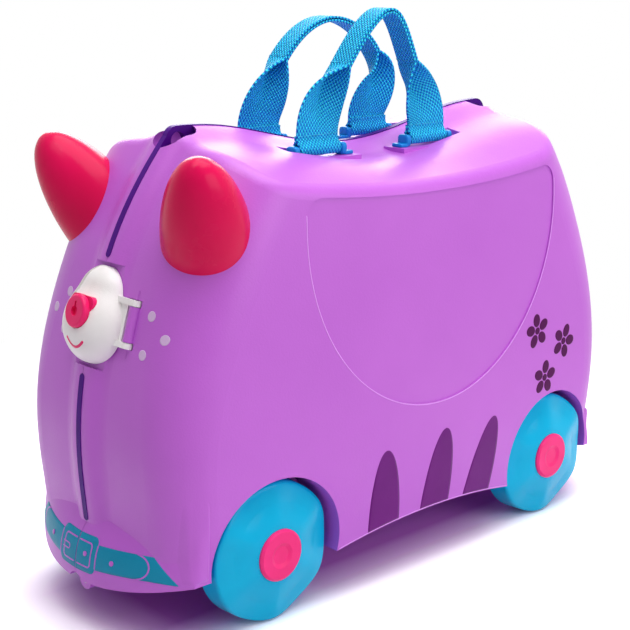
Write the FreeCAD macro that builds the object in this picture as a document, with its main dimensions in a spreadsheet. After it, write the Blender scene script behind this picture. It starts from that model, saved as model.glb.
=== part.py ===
import FreeCAD, Part
import math
import os
import Sketcher
from FreeCAD import Placement, Rotation, Vector

doc = FreeCAD.newDocument("ride_on_suitcase")
dims = doc.addObject("Spreadsheet::Sheet", "dims")

# Driving sizes in millimetres (degrees where the name says angle).
SIZES = {
    # body outline: height, reach of the parting ridge ahead of the centre, half width
    "base_height": 33.0, "base_reach": 217.5, "base_half": 91.5,
    "throat_height": 70.0, "throat_reach": 217.5, "throat_half": 93.0,
    "belly_height": 110.0, "belly_reach": 220.5, "belly_half": 94.0,
    "catch_low_height": 160.0, "catch_low_reach": 216.5, "catch_low_half": 94.0,
    "catch_mid_height": 200.0, "catch_mid_reach": 206.5, "catch_mid_half": 93.5,
    "brow_height": 236.0, "brow_reach": 194.0, "brow_half": 92.5,
    "horn_height": 268.0, "horn_reach": 177.0, "horn_half": 91.0,
    "crown_height": 300.0, "crown_reach": 153.5, "crown_half": 89.0,
    "peak_height": 332.0, "peak_reach": 126.0, "peak_half": 86.0,
    "middle_shift": -4.0, "side_radius": 2500.0, "end_radius": 260.0,
    "corner_low": 35.0, "corner_high": 52.0,
    "shoulder_radius": 12.0, "ridge_height": 5.5, "ridge_flat": 4.0, "ridge_run": 18.0,
    # saddle: height of the ridge along the top, and of the shoulder line
    "seat_height": 289.5, "saddle_rise": 20.5, "saddle_reach": 140.0,
    "shoulder_mid": 277.0, "shoulder_end": 283.0, "shoulder_reach": 113.0,
    "wall": 3.0, "rim_depth": 12.0, "rim_width": 6.0, "parting_gap": 0.3,
    "arch_rise": 10.0, "arch_half": 96.0, "chin_reach": 227.0, "chin_top": 72.0, "chin_drop": 3.5,
    "chin_under_radius": 300.0, "chin_under_from": 150.0,
    "panel_depth": 1.0, "panel_centre": -10.5, "panel_half": 120.0, "panel_mid_height": 250.0,
    "panel_drop": 130.0, "panel_top_gap": 11.5,
    # wheels
    "wheel_radius": 47.0, "wheel_base_half": 136.3, "wheel_outer": 89.8, "wheel_edge_radius": 9.0,
    "wheel_facet_fall": 6.5, "well_radius": 51.0, "well_floor": 61.0,
    "axle_radius": 4.0, "axle_run_gap": 0.06, "axle_boss_radius": 12.0, "axle_boss_step": 2.0,
    "axle_boss_depth": 10.0, "axle_side_gap": 0.3, "axle_head_radius": 7.0, "axle_head": 2.6,
    "axle_tail": 4.0,
    "clip_radius": 8.0, "clip_thick": 1.2, "hub_radius": 17.2, "hub_socket_radius": 15.0,
    "hub_socket_depth": 7.2, "hub_cap_thick": 2.4, "hub_fit_gap": 0.05, "hub_plug_wall": 2.2,
    # case hinge
    "hinge_height": 26.0, "knuckle_radius": 6.5, "knuckle_length": 14.0, "knuckle_gap": 0.3,
    "hinge_pin_radius": 2.5, "hinge_pin_gap": 0.06, "hinge_end": 220.0,
    # parting trim
    "trim_half": 2.3, "trim_gap": 0.35, "trim_depth": 8.0, "trim_sink": -0.5,
    "trim_top_end": 234.0, "trim_low_end": 163.0, "trim_foot_end": 66.0,
    "eye_outer": 9.5, "eye_hole": 5.6, "eye_forward": 141.0, "eye_height": 301.5,
    "scoop_radius": 14.5,
    # horns
    "horn_forward": 158.5, "horn_side": 54.0, "horn_base": 245.4, "horn_length": 68.6,
    "horn_radius": 28.5, "horn_yaw_angle": 43.1, "horn_lift_angle": 54.0, "horn_boss_radius": 9.0,
    "horn_stem_reach": 10.5, "screw_radius": 2.0, "screw_head": 2.2, "screw_length": 14.0,
    # catches
    "catch_half_width": 27.0, "catch_half_height": 24.0, "catch_dome": 17.0, "catch_drop": 7.0,
    "catch_brow_half": 20.5, "catch_brow_height": 22.0, "catch_brow_dome": 11.0, "catch_brow_lift": 9.0,
    "catch_wall": 2.4, "catch_seat": 5.0, "catch_seat_gap": 0.3, "catch_hinge_side": 34.0,
    "catch_hinge_sink": 5.0, "catch_arm_radius": 3.3, "catch_arm_at": 11.3, "catch_arm_thick": 3.6,
    "catch_plate_end": 29.5, "catch_plate_thick": 2.0, "catch_slot_gap": 0.4, "catch_lug_radius": 3.5,
    "catch_pin_radius": 1.3, "catch_pin_gap": 0.05,
    "knob_radius": 10.4, "knob_rise": 4.2, "knob_seat": 10.2,
    "knob_shaft_radius": 4.0, "knob_shaft_gap": 0.06,
    "nose_half": 15.5, "nose_top": 10.5, "nose_drop": 15.0, "nose_round": 4.5,
    "cam_length": 14.8, "cam_half": 3.2, "cam_thick": 1.8, "cam_lift": 3.0, "keeper_half": 5.0,
    "keeper_gap": 0.5, "keeper_lip": 1.5, "keeper_peg_radius": 2.0,
    # carry straps and their anchors
    "anchor_forward": 52.0, "anchor_side": 30.0, "anchor_floor": 286.0, "anchor_bar_radius": 2.3,
    "anchor_bar_lift": 5.4, "anchor_post": 5.0, "anchor_tongue": 6.0, "anchor_half_width": 5.0,
    "anchor_pocket_half": 6.5,
    "strap_width": 36.0, "strap_grip_width": 19.0, "strap_thick": 2.0, "strap_grip_thick": 3.4,
    "strap_eye_gap": 0.3, "strap_turn_share": 0.42, "strap_foot": 10.0,
    "left_top_forward": -14.0, "left_top": 379.0, "left_fore_forward": 33.0, "left_fore": 337.0,
    "left_aft_forward": -41.0, "left_aft": 335.0,
    "right_top_forward": -19.0, "right_top": 372.0, "right_fore_forward": 38.0, "right_fore": 334.0,
    "right_aft_forward": -64.0, "right_aft": 332.0,
}

for row, name in enumerate(SIZES, start=1):
    dims.set("A%d" % row, name)
    dims.set("B%d" % row, str(SIZES[name]))
    dims.setAlias("B%d" % row, name)
doc.recompute()


class Size(float):
    """A length that remembers the sheet expression it came from."""

    def __new__(cls, value, text):
        made = float.__new__(cls, value)
        made.text = text
        return made

    def join(self, other, sign, swap=False):
        first, second = (other, self) if swap else (self, other)
        words = [part.text if isinstance(part, Size) else repr(float(part)) for part in (first, second)]
        a, b = float(first), float(second)
        value = {"+": a + b, "-": a - b, "*": a * b, "/": a / b if b else 0.0}[sign]
        return Size(value, "(%s %s %s)" % (words[0], sign, words[1]))

    def __add__(self, other):
        return self.join(other, "+")

    def __radd__(self, other):
        return self.join(other, "+", True)

    def __sub__(self, other):
        return self.join(other, "-")

    def __rsub__(self, other):
        return self.join(other, "-", True)

    def __mul__(self, other):
        return self.join(other, "*")

    def __rmul__(self, other):
        return self.join(other, "*", True)

    def __truediv__(self, other):
        return self.join(other, "/")

    def __neg__(self):
        return self.join(-1.0, "*")


class Sizes:
    def __getattr__(self, name):
        return Size(float(dims.get(name)), "dims." + name)


z = Sizes()
ALONG_Y = Rotation(Vector(1, 0, 0), -90)
ALONG_X = Rotation(Vector(0, 1, 0), 90)
PLAIN = Rotation()
END = Vector(1, 0, 0)
ACROSS = Vector(0, 1, 0)
HOME = Placement()


def bind(thing, prop, value):
    if isinstance(value, Size):
        thing.setExpression(prop, value.text)
    else:
        setattr(thing, prop, value)


def put(thing, at, turn=PLAIN, frame=HOME):
    thing.Placement = frame.multiply(Placement(Vector(*[float(v) for v in at]), turn))
    if frame is HOME:
        for axis, value in zip("xyz", at):
            if isinstance(value, Size):
                thing.setExpression("Placement.Base." + axis, value.text)
    return thing


def cylinder(name, radius, height, at, turn=PLAIN, frame=HOME):
    made = doc.addObject("Part::Cylinder", name)
    bind(made, "Radius", radius)
    bind(made, "Height", height)
    return put(made, at, turn, frame)


def block(name, low, high, frame=HOME):
    made = doc.addObject("Part::Box", name)
    for prop, a, b in zip(("Length", "Width", "Height"), low, high):
        bind(made, prop, b - a)
    return put(made, low, PLAIN, frame)


def fuse(name, *things):
    made = doc.addObject("Part::MultiFuse", name)
    made.Shapes = list(things)
    return made


def cut(name, base, *tools):
    made = doc.addObject("Part::Cut", name)
    made.Base = base
    made.Tool = tools[0] if len(tools) == 1 else fuse(name + "_tools", *tools)
    return made


def common(name, first, second):
    made = doc.addObject("Part::Common", name)
    made.Base = first
    made.Tool = second
    return made


def mirror(name, source, normal, base=Vector()):
    made = doc.addObject("Part::Mirroring", name)
    made.Source = source
    made.Normal = normal
    made.Base = base
    return made


def solid(name, shape):
    made = doc.addObject("Part::Feature", name)
    made.Shape = shape
    return made


def turned(name, points, at, turn=PLAIN, frame=HOME):
    """Revolve a profile of (radius, along) points about the local Z axis."""
    sketch = doc.addObject("Sketcher::SketchObject", name + "_profile")
    corners = [Vector(float(r), float(a), 0) for r, a in points]
    count = len(corners)
    for i in range(count):
        sketch.addGeometry(Part.LineSegment(corners[i], corners[(i + 1) % count]), False)
    for i in range(count):
        sketch.addConstraint(Sketcher.Constraint("Coincident", i, 2, (i + 1) % count, 1))
    for i, (r, a) in enumerate(points):
        for kind, value, word in (("DistanceX", r, "r"), ("DistanceY", a, "a")):
            if abs(float(value)) < 1e-9:
                other = -2 if kind == "DistanceX" else -1
                sketch.addConstraint(Sketcher.Constraint("PointOnObject", i, 1, other))
                continue
            index = sketch.addConstraint(Sketcher.Constraint(kind, -1, 1, i, 1, float(value)))
            sketch.renameConstraint(index, "%s%d" % (word, i))
            if isinstance(value, Size):
                sketch.setExpression("Constraints.%s%d" % (word, i), value.text)
    made = doc.addObject("Part::Revolution", name)
    made.Source = sketch
    made.Axis = Vector(0, 1, 0)
    made.Base = Vector()
    made.Angle = 360.0
    made.Solid = True
    sketch.Placement = Placement()
    made.Placement = frame.multiply(Placement(Vector(*[float(v) for v in at]), turn).multiply(
        Placement(Vector(), Rotation(Vector(1, 0, 0), 90))))
    return made


# Body outline: the ridge reach, half width and height of each level.
LEVELS = ("base", "throat", "belly", "catch_low", "catch_mid", "brow", "horn", "crown", "peak")


def level(name):
    return [float(getattr(z, name + word)) for word in ("_height", "_reach", "_half")]


def corner_at(height):
    """Corner radius in plan: tight below the belly, fuller toward the brow."""
    share = (height - float(z.belly_height)) / float(z.brow_height - z.belly_height)
    return float(z.corner_low) + float(z.corner_high - z.corner_low) * min(1.0, max(0.0, share)) ** 1.5


def end_curve(height, reach, half, inset, way):
    """Plan outline of one end: ridge flat, two ridge arcs, end arc, corner arc; and its points."""
    rise, flat, run = float(z.ridge_height), float(z.ridge_flat), float(z.ridge_run)
    a, b = reach - inset, half - inset
    end, side, corner = [float(r) - inset for r in (z.end_radius, z.side_radius, corner_at(height))]
    small = ((run / 2) ** 2 + (rise / 2) ** 2) / rise
    end_centre = Vector(a - rise - end, flat + run, 0)
    side_centre = Vector(0, b - side, 0)
    gap = end_centre - side_centre
    along = ((side - corner) ** 2 - (end - corner) ** 2 + gap.Length ** 2) / (2 * gap.Length)
    off = math.sqrt((side - corner) ** 2 - along ** 2)
    unit = gap * (1.0 / gap.Length)
    centre = side_centre + unit * along + Vector(-unit.y, unit.x, 0) * off
    other = side_centre + unit * along - Vector(-unit.y, unit.x, 0) * off
    if other.y > centre.y:
        centre = other
    on_end = end_centre + (centre - end_centre).normalize() * end
    on_side = side_centre + (centre - side_centre).normalize() * side
    points = [Vector(a, float(z.parting_gap) / 2, 0), Vector(a, flat, 0),
              Vector(a - rise / 2, flat + run / 2, 0), Vector(a - rise, flat + run, 0), on_end, on_side]
    rounds = [(Vector(a - small, flat, 0), small), (Vector(a - rise + small, flat + run, 0), small),
              (end_centre, end), (centre, corner)]

    def place(p):
        return Vector(way * p.x, p.y, height)

    edges = [Part.LineSegment(place(points[0]), place(points[1])).toShape()]
    for (middle, radius), p, q in zip(rounds, points[1:-1], points[2:]):
        way_out = ((p - middle) + (q - middle)).normalize()
        edges.append(Part.Arc(place(p), place(middle + way_out * radius), place(q)).toShape())
    return edges, [place(p) for p in points]


def plan_wire(name, inset):
    height, reach, half = level(name)
    front, front_points = end_curve(height, reach, half, inset, 1)
    rear, rear_points = end_curve(height, reach, half, inset, -1)
    side = Part.Arc(front_points[-1], Vector(0, half - inset, height), rear_points[-1]).toShape()
    parting = Part.LineSegment(rear_points[0], front_points[0]).toShape()
    return Part.Wire(Part.__sortEdges__(front + [side] + rear[::-1] + [parting]))


def saddle(x):
    """Height of the ridge on top: a smooth rise from the seat to the tow-eye bosses."""
    share = min(1.0, abs(x - float(z.middle_shift)) / float(z.saddle_reach))
    return float(z.seat_height) + float(z.saddle_rise) * (1 - math.cos(math.pi * share)) / 2


def shoulder(x):
    share = min(1.3, abs(x - float(z.middle_shift)) / float(z.shoulder_reach))
    return float(z.shoulder_mid) + float(z.shoulder_end - z.shoulder_mid) * share ** 2


def top_wire(y, inset):
    rise = float(z.ridge_height)
    share = min(1.0, max(0.0, (y - float(z.ridge_flat)) / float(z.ridge_run)))
    ridge = rise * (1 - 2 * share ** 2 if share < 0.5 else 2 * (1 - share) ** 2)
    fall = (max(0.0, y) / 88.0) ** 1.6
    points = []
    for x in (-250, -175, -140, -112, -84, -56, -28, 0, 28, 56, 84, 112, 140, 175, 250):
        plain = saddle(x) - rise
        points.append(Vector(x, y, plain - (plain - shoulder(x)) * fall + ridge - inset))
    crest = Part.BSplineCurve()
    crest.interpolate(points)
    low = [Vector(p.x, y, 10) for p in (points[-1], points[0])]
    return Part.Wire([crest.toShape(), Part.LineSegment(points[-1], low[0]).toShape(),
                      Part.LineSegment(low[0], low[1]).toShape(),
                      Part.LineSegment(low[1], points[0]).toShape()])


def half_block(inset, rounding):
    """Half of the body form, set in by a distance, with its shoulder rounded."""
    plan = Part.makeLoft([plan_wire(name, inset) for name in LEVELS], True, False)
    flat, run = float(z.ridge_flat), float(z.ridge_run)
    top = Part.makeLoft([top_wire(y, inset) for y in (-6, flat, flat + run / 2, flat + run, 40, 65, 110)],
                        True, False)
    form = plan.common(top).Solids[0]
    if rounding <= 0:
        return form
    crown = max(form.Faces, key=lambda face: face.CenterOfMass.z)
    rim = [e for e in crown.OuterWire.Edges
           if max(abs(p.y) for p in e.discretize(5)) > float(z.parting_gap)]
    form = form.makeFillet(rounding, rim)
    form.fix(1e-4, 1e-4, 1e-2)
    return form.Solids[0]


def parting_face(form):
    flat = [f for f in form.Faces if abs(f.CenterOfMass.y - float(z.parting_gap) / 2) < 1e-3]
    return Part.Face(max(flat, key=lambda f: f.Area).OuterWire)


def inset_face(inset):
    """The parting profile, set in by a distance, moved to the middle plane."""
    face = parting_face(half_block(float(inset), max(1.0, float(z.shoulder_radius - inset))))
    face.translate(Vector(0, -float(z.parting_gap) / 2, 0))
    return face


def window(low_x, low_z, high_x, high_z):
    corners = [(low_x, low_z), (high_x, low_z), (high_x, high_z), (low_x, high_z), (low_x, low_z)]
    return Part.Face(Part.makePolygon([Vector(float(a), 0, float(b)) for a, b in corners]))


def disc_face(radius, spot):
    return Part.Face(Part.Wire(Part.makeCircle(float(radius), spot, Vector(0, 1, 0))))


def thicken(face, low, high):
    made = face.copy()
    made.translate(Vector(0, float(low), 0))
    return made.extrude(Vector(0, float(high) - float(low), 0))


def cyl(radius, low, high, x, height):
    foot = Vector(float(x), float(low), float(height))
    return Part.makeCylinder(float(radius), float(high) - float(low), foot, Vector(0, 1, 0))


def box(low, high):
    size = [float(b) - float(a) for a, b in zip(low, high)]
    return Part.makeBox(size[0], size[1], size[2], Vector(*[float(v) for v in low]))


# Frame of the front catch: X out of the face, Y across, Z up the face; the rear one is its mirror.
face_tilt = math.degrees(math.atan2(float(z.catch_low_reach - z.brow_reach),
                                    float(z.brow_height - z.catch_low_height)))
catch_at = Vector(float(z.catch_mid_reach), 0, float(z.catch_mid_height))
catch_frame = Placement(catch_at, Rotation(Vector(0, 1, 0), -face_tilt))


def in_catch(shape):
    made = shape.copy()
    made.Placement = catch_frame.multiply(made.Placement)
    return made


def at_rear(shape):
    return shape.mirror(Vector(), Vector(1, 0, 0))


def both_ends(shape):
    return [shape, at_rear(shape)]


wheel_spots = [float(z.middle_shift + z.wheel_base_half), float(z.middle_shift - z.wheel_base_half)]
outer = half_block(0.0, float(z.shoulder_radius))

# Chin: a bulging bumper from a proud low outline up to one sunk in the body.
def chin_wire(height, reach, radius, back):
    y0, y1 = float(z.parting_gap) / 2, 84.0
    centre = Vector(reach - radius, 0, height)
    ends = [centre + Vector(math.sqrt(radius ** 2 - y ** 2), y, 0) for y in (y0, y1)]
    middle = centre + Vector(math.sqrt(radius ** 2 - 44.0 ** 2), 44.0, 0)
    arc = Part.Arc(ends[0], middle, ends[1]).toShape()
    corner = [Vector(back, y1, height), Vector(back, y0, height)]
    return Part.Wire([arc, Part.LineSegment(ends[1], corner[0]).toShape(),
                      Part.LineSegment(corner[0], corner[1]).toShape(),
                      Part.LineSegment(corner[1], ends[0]).toShape()])


low = float(z.base_height - z.chin_drop)
chin_rise = float(z.chin_top) - low
CHIN = ((0.0, 0.0, 130.0), (0.27, 0.4, 130.0), (0.53, 2.6, 133.0), (0.72, 6.4, 142.0), (0.86, 10.8, 165.0),
        (1.0, 16.0, 195.0))
chin = Part.makeLoft([chin_wire(low + chin_rise * up, float(z.chin_reach) - back, radius, 120.0)
                      for up, back, radius in CHIN], True, False)
form = outer.fuse(both_ends(chin))


def under_chin(radius):
    """Room below a barrel-shaped underside that lifts the chin toward the sides."""
    barrel = Part.makeCylinder(float(radius), 220.0, Vector(100, 0, low + float(z.chin_under_radius)), END)
    return box((z.chin_under_from, -5, 0), (300, 130, 80)).cut(barrel)


form = form.cut(both_ends(under_chin(z.chin_under_radius)))

# Base arch between the wheels.
arch_radius = float((z.arch_half * z.arch_half + z.arch_rise * z.arch_rise) / (2 * z.arch_rise))
arch_centre = float(z.base_height + z.arch_rise) - arch_radius
arch = cyl(arch_radius, -5, 130, z.middle_shift, arch_centre)
arch_shell = cyl(arch_radius + float(z.wall) + 0.5, -5, 130, z.middle_shift, arch_centre)

# Cavity: wall inset, deeper behind the rim, kept clear of wells, bosses, seats and scoops.
cavity = half_block(float(z.wall), float(z.shoulder_radius - z.wall))
cavity = cavity.cut(box((-300, -1, 0), (300, z.rim_width, 400)))
rim_block = half_block(float(z.rim_depth), 0.0).common(box((-300, -1, 0), (300, z.rim_width + 1, 400)))
cavity = cavity.fuse(rim_block)
keep = [box((-300, -5, 0), (300, 130, z.base_height + z.wall + 0.5)), arch_shell]
keep += both_ends(under_chin(z.chin_under_radius - z.wall - 0.5))
eye_spots = [Vector(float(z.eye_forward), 0, float(z.eye_height)),
             Vector(-float(z.eye_forward), 0, float(z.eye_height))]
for x in wheel_spots:
    keep.append(cyl(z.well_radius + z.wall, z.well_floor - z.wall, 130, x, z.wheel_radius))
    keep.append(cyl(z.axle_boss_radius, z.well_floor - z.axle_boss_depth, 80, x, z.wheel_radius))
for spot in eye_spots:
    keep.append(Part.makeSphere(float(z.scoop_radius + z.wall), spot))
seat_room = in_catch(box((-float(z.catch_seat) - 4, -40, -36), (40, z.catch_half_width + 8, 36)))
slot_room = in_catch(box((-float(z.catch_seat) - 9, 20, -20), (40, z.catch_hinge_side + 9, 20)))
keep += both_ends(seat_room) + both_ends(slot_room)
anchor_low = z.anchor_floor - 4.5
anchor_half_length = z.strap_width / 2 + 0.5 + z.anchor_post + z.anchor_tongue
for way in (1, -1):
    middle = z.middle_shift + way * z.anchor_forward
    keep.append(box((middle - anchor_half_length - 3, z.anchor_side - 12, anchor_low),
                    (middle + anchor_half_length + 3, z.anchor_side + 12, 400)))
cavity = cavity.cut(keep)

# Recessed side panel: a half ellipse with an arched top edge.
def panel_prism():
    cx, half = float(z.panel_centre), float(z.panel_half)
    mid, drop = float(z.panel_mid_height), float(z.panel_drop)
    lift = float(z.shoulder_mid - z.panel_top_gap)
    ends = lift + float(z.shoulder_end - z.shoulder_mid)
    r = 12.0
    left, right = Vector(cx - half, 60, mid), Vector(cx + half, 60, mid)
    lowest = [Vector(cx - half * math.cos(a), 60, mid - drop * math.sin(a))
              for a in [math.pi * k / 12 for k in range(13)]]
    bowl = Part.BSplineCurve()
    bowl.interpolate(lowest)
    top = Part.Arc(Vector(cx - half + r, 60, ends), Vector(cx, 60, lift),
                   Vector(cx + half - r, 60, ends)).toShape()
    edges = [bowl.toShape(), top]
    for side, way in ((left, 1), (right, -1)):
        a = Vector(side.x, 60, ends - r)
        b = Vector(side.x + way * r, 60, ends)
        edges.append(Part.LineSegment(side, a).toShape())
        bend = Vector(side.x + way * r * (1 - math.sqrt(0.5)), 60, ends - r * (1 - math.sqrt(0.5)))
        edges.append(Part.Arc(a, bend, b).toShape())
    wire = Part.Wire(Part.__sortEdges__(edges))
    return Part.Face(wire).extrude(Vector(0, 60, 0))


panel = panel_prism().cut(half_block(float(z.panel_depth), float(z.shoulder_radius - z.panel_depth)))

# Trim: strips pressed into a groove of the left rim, with clearance in the right rim.
strip_floor = inset_face(z.trim_depth)
clear_floor = inset_face(z.trim_depth + z.trim_gap)
strip_ring = inset_face(z.trim_sink).cut(strip_floor)


def trim_windows(grow):
    upper = window(-300, z.trim_top_end - grow, 300, 400)
    front = window(150, z.trim_foot_end - grow, 300, z.trim_low_end + grow)
    rear = window(-300, z.trim_foot_end - grow, -150, z.trim_low_end + grow)
    return [upper, front, rear]


def round_end(height, way, end, radius):
    """What a square run end has beyond a round one, seen along X."""
    low_x = 150.0 if end > 0 else -300.0
    middle = float(height) + way * float(radius)
    low_z, high_z = sorted((float(height) - way, middle))
    barrel = Part.makeCylinder(float(radius), 150.0, Vector(low_x, 0, middle), END)
    return box((low_x, -radius - 1, low_z), (low_x + 150.0, radius + 1, high_z)).cut(barrel)


def trim_ends(grow, radius):
    """Corner pieces of the upper, front and rear runs, in the order of the windows."""
    upper = [round_end(z.trim_top_end - grow, 1, end, radius) for end in (1, -1)]
    lower = [[round_end(z.trim_foot_end - grow, 1, end, radius),
              round_end(z.trim_low_end + grow, -1, end, radius)] for end in (1, -1)]
    return [upper] + lower


half = float(z.trim_half)
open_half = half + float(z.trim_gap)
left_groove = [thicken(zone.cut(strip_floor), -1, half).cut(ends)
               for zone, ends in zip(trim_windows(0.0), trim_ends(0.0, half))]
right_groove = [thicken(zone.cut(clear_floor), -open_half, 1).cut(ends)
                for zone, ends in zip(trim_windows(z.trim_gap), trim_ends(z.trim_gap, open_half))]
for spot in eye_spots:
    left_groove.append(cyl(z.eye_outer, -1, half, spot.x, spot.z))
    right_groove.append(cyl(z.eye_outer + z.trim_gap, -open_half, 1, spot.x, spot.z))

half_form = solid("half_form", form.cut(arch))
half_cavity = solid("half_cavity", cavity)
panel_cut = solid("panel_cut", panel)

# Shared half: hollow, wells, seats, scoops, hinge clearance, anchor pockets.
tools = [half_cavity, panel_cut]
wheel_x = {"front": z.middle_shift + z.wheel_base_half, "rear": z.middle_shift - z.wheel_base_half}
for end in ("front", "rear"):
    tools.append(cylinder(end + "_well", z.well_radius, 80.0,
                          (wheel_x[end], z.well_floor, z.wheel_radius), ALONG_Y))
seat_cut = block("front_seat_cut", (-z.catch_seat, -40.0, -33.0), (40.0, z.catch_half_width + 4, 33.0),
                 catch_frame)
tools += [seat_cut, mirror("rear_seat_cut", seat_cut, END)]
for end, spot in zip(("front", "rear"), eye_spots):
    ball = doc.addObject("Part::Sphere", end + "_scoop_ball")
    bind(ball, "Radius", z.scoop_radius)
    put(ball, (spot.x, 0.0, z.eye_height))
    side = block(end + "_scoop_side", (spot.x - 40, z.trim_half, 250.0), (spot.x + 40, 40.0, 350.0))
    tools.append(common(end + "_scoop", ball, side))
hinge_run = z.knuckle_length * 3 + z.knuckle_gap * 2
clear = cylinder("front_hinge_clear", z.knuckle_radius + 0.8, hinge_run + 20.0,
                 (z.hinge_end - hinge_run - 1, 0.0, z.hinge_height), ALONG_X)
tools += [clear, mirror("rear_hinge_clear", clear, END)]
pads = []
pegs = []
for end, way in (("front", 1.0), ("rear", -1.0)):
    middle = z.middle_shift + z.anchor_forward * way
    tools.append(block(end + "_pocket",
                       (middle - anchor_half_length - 1, z.anchor_side - z.anchor_pocket_half, z.anchor_floor),
                       (middle + anchor_half_length + 1, z.anchor_side + z.anchor_pocket_half, 400.0)))
    pads.append(block(end + "_pad", (middle - anchor_half_length - 2, z.anchor_side - 10, anchor_low),
                      (middle + anchor_half_length + 2, z.anchor_side + 10, z.anchor_floor)))
    for side in (1.0, -1.0):
        spot = middle + side * (z.strap_width / 2 + 0.5 + z.anchor_post / 2)
        pegs.append(cylinder("%s_peg_hole_%d" % (end, side), z.screw_radius, 3.5,
                             (spot, z.anchor_side, z.anchor_floor - 3.5)))
hollow = cut("half_hollow", half_form, *tools)
added = list(pads)
bores = list(pegs)
for end in ("front", "rear"):
    added.append(cylinder(end + "_axle_boss", z.axle_boss_radius, z.axle_boss_step + 1,
                          (wheel_x[end], z.well_floor - 1, z.wheel_radius), ALONG_Y))
    bores.append(cylinder(end + "_axle_bore", z.axle_radius, 40.0,
                          (wheel_x[end], z.well_floor - 30, z.wheel_radius), ALONG_Y))
horn_turn = Rotation(Vector(0, 0, 1), float(z.horn_yaw_angle)).multiply(
    Rotation(Vector(0, 1, 0), 90.0 - float(z.horn_lift_angle)))
horn_frame = Placement(Vector(float(z.horn_forward), float(z.horn_side), float(z.horn_base)), horn_turn)
bores.append(cylinder("horn_hole", z.horn_boss_radius + 0.1, 70.0, (0, 0, -40.0), PLAIN, horn_frame))

# Knuckles of the case hinge: two on the left half, one between them on the right half.
def knuckle(name, start, side):
    barrel = cylinder(name + "_barrel", z.knuckle_radius, z.knuckle_length,
                      (start, 0.0, z.hinge_height), ALONG_X)
    if side > 0:
        web = block(name + "_web", (start, z.parting_gap / 2, z.hinge_height),
                    (start + z.knuckle_length, z.knuckle_radius, z.base_height + 4))
    else:
        web = block(name + "_web", (start, -z.knuckle_radius, z.hinge_height),
                    (start + z.knuckle_length, -z.parting_gap / 2, z.base_height + 4))
    return fuse(name, barrel, web)


first = z.hinge_end - z.knuckle_length
second = first - z.knuckle_gap - z.knuckle_length
third = second - z.knuckle_gap - z.knuckle_length
left_knuckles = fuse("left_knuckles", knuckle("left_knuckle_a", first, 1),
                     knuckle("left_knuckle_b", third, 1))
right_knuckle = knuckle("right_knuckle", second, -1)
pin_hole = cylinder("pin_hole", z.hinge_pin_radius, hinge_run + 2,
                    (third - 1, 0.0, z.hinge_height), ALONG_X)
run_hole = cylinder("run_hole", z.hinge_pin_radius + z.hinge_pin_gap, hinge_run + 2,
                    (third - 1, 0.0, z.hinge_height), ALONG_X)

# Catch hinge on the left half: a lug between two arm slots.
arm_outer = z.catch_arm_at + z.catch_arm_thick
lug = cylinder("lug_barrel", z.catch_lug_radius, (z.catch_arm_at - z.catch_slot_gap) * 2,
               (-z.catch_hinge_sink, z.catch_hinge_side, -(z.catch_arm_at - z.catch_slot_gap)),
               PLAIN, catch_frame)
slots = []
for side, start in (("upper", z.catch_arm_at - z.catch_slot_gap), ("lower", -arm_outer - z.catch_slot_gap)):
    slots.append(block("slot_" + side,
                       (-z.catch_hinge_sink - z.catch_arm_radius - 1, z.catch_half_width - 2, start),
                       (40.0, z.catch_hinge_side + z.catch_arm_radius + 1,
                        start + z.catch_arm_thick + z.catch_slot_gap * 2), catch_frame))
slots.append(block("slot_plate", (-z.catch_seat, z.catch_half_width - 2, -arm_outer),
                   (40.0, z.catch_plate_end + 1, arm_outer), catch_frame))
arm_slots = fuse("arm_slots", *slots)
lug_hole = cylinder("lug_hole", z.catch_pin_radius, arm_outer * 2 + 12,
                    (-z.catch_hinge_sink, z.catch_hinge_side, -arm_outer - 6), PLAIN, catch_frame)
left_full = fuse("left_full", hollow, left_knuckles, mirror("rear_left_knuckles", left_knuckles, END),
                 lug, mirror("rear_lug", lug, END), *added)
left_shell = cut("left_shell", left_full, pin_hole, mirror("rear_pin_hole", pin_hole, END),
                 lug_hole, mirror("rear_lug_hole", lug_hole, END),
                 arm_slots, mirror("rear_arm_slots", arm_slots, END),
                 *(bores + [solid("left_groove_%d" % i, tool) for i, tool in enumerate(left_groove)]))
keeper_peg_at = -z.cam_length - 1 - 1.4
keeper_hole = cylinder("keeper_hole", z.keeper_peg_radius, 5.0, (-z.catch_seat - 3, keeper_peg_at, 0.0),
                       ALONG_X, catch_frame)
right_full = fuse("right_full", mirror("right_hollow", hollow, ACROSS), right_knuckle,
                  mirror("rear_right_knuckle", right_knuckle, END),
                  *[mirror("right_" + thing.Name, thing, ACROSS) for thing in added])
right_shell = cut("right_shell", right_full, run_hole, mirror("rear_run_hole", run_hole, END),
                  keeper_hole, mirror("rear_keeper_hole", keeper_hole, END),
                  *([mirror("right_" + thing.Name, thing, ACROSS) for thing in bores]
                    + [solid("right_groove_%d" % i, tool) for i, tool in enumerate(right_groove)]))
nodes = {"left_shell": left_shell, "right_shell": right_shell}
doc.recompute()

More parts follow.
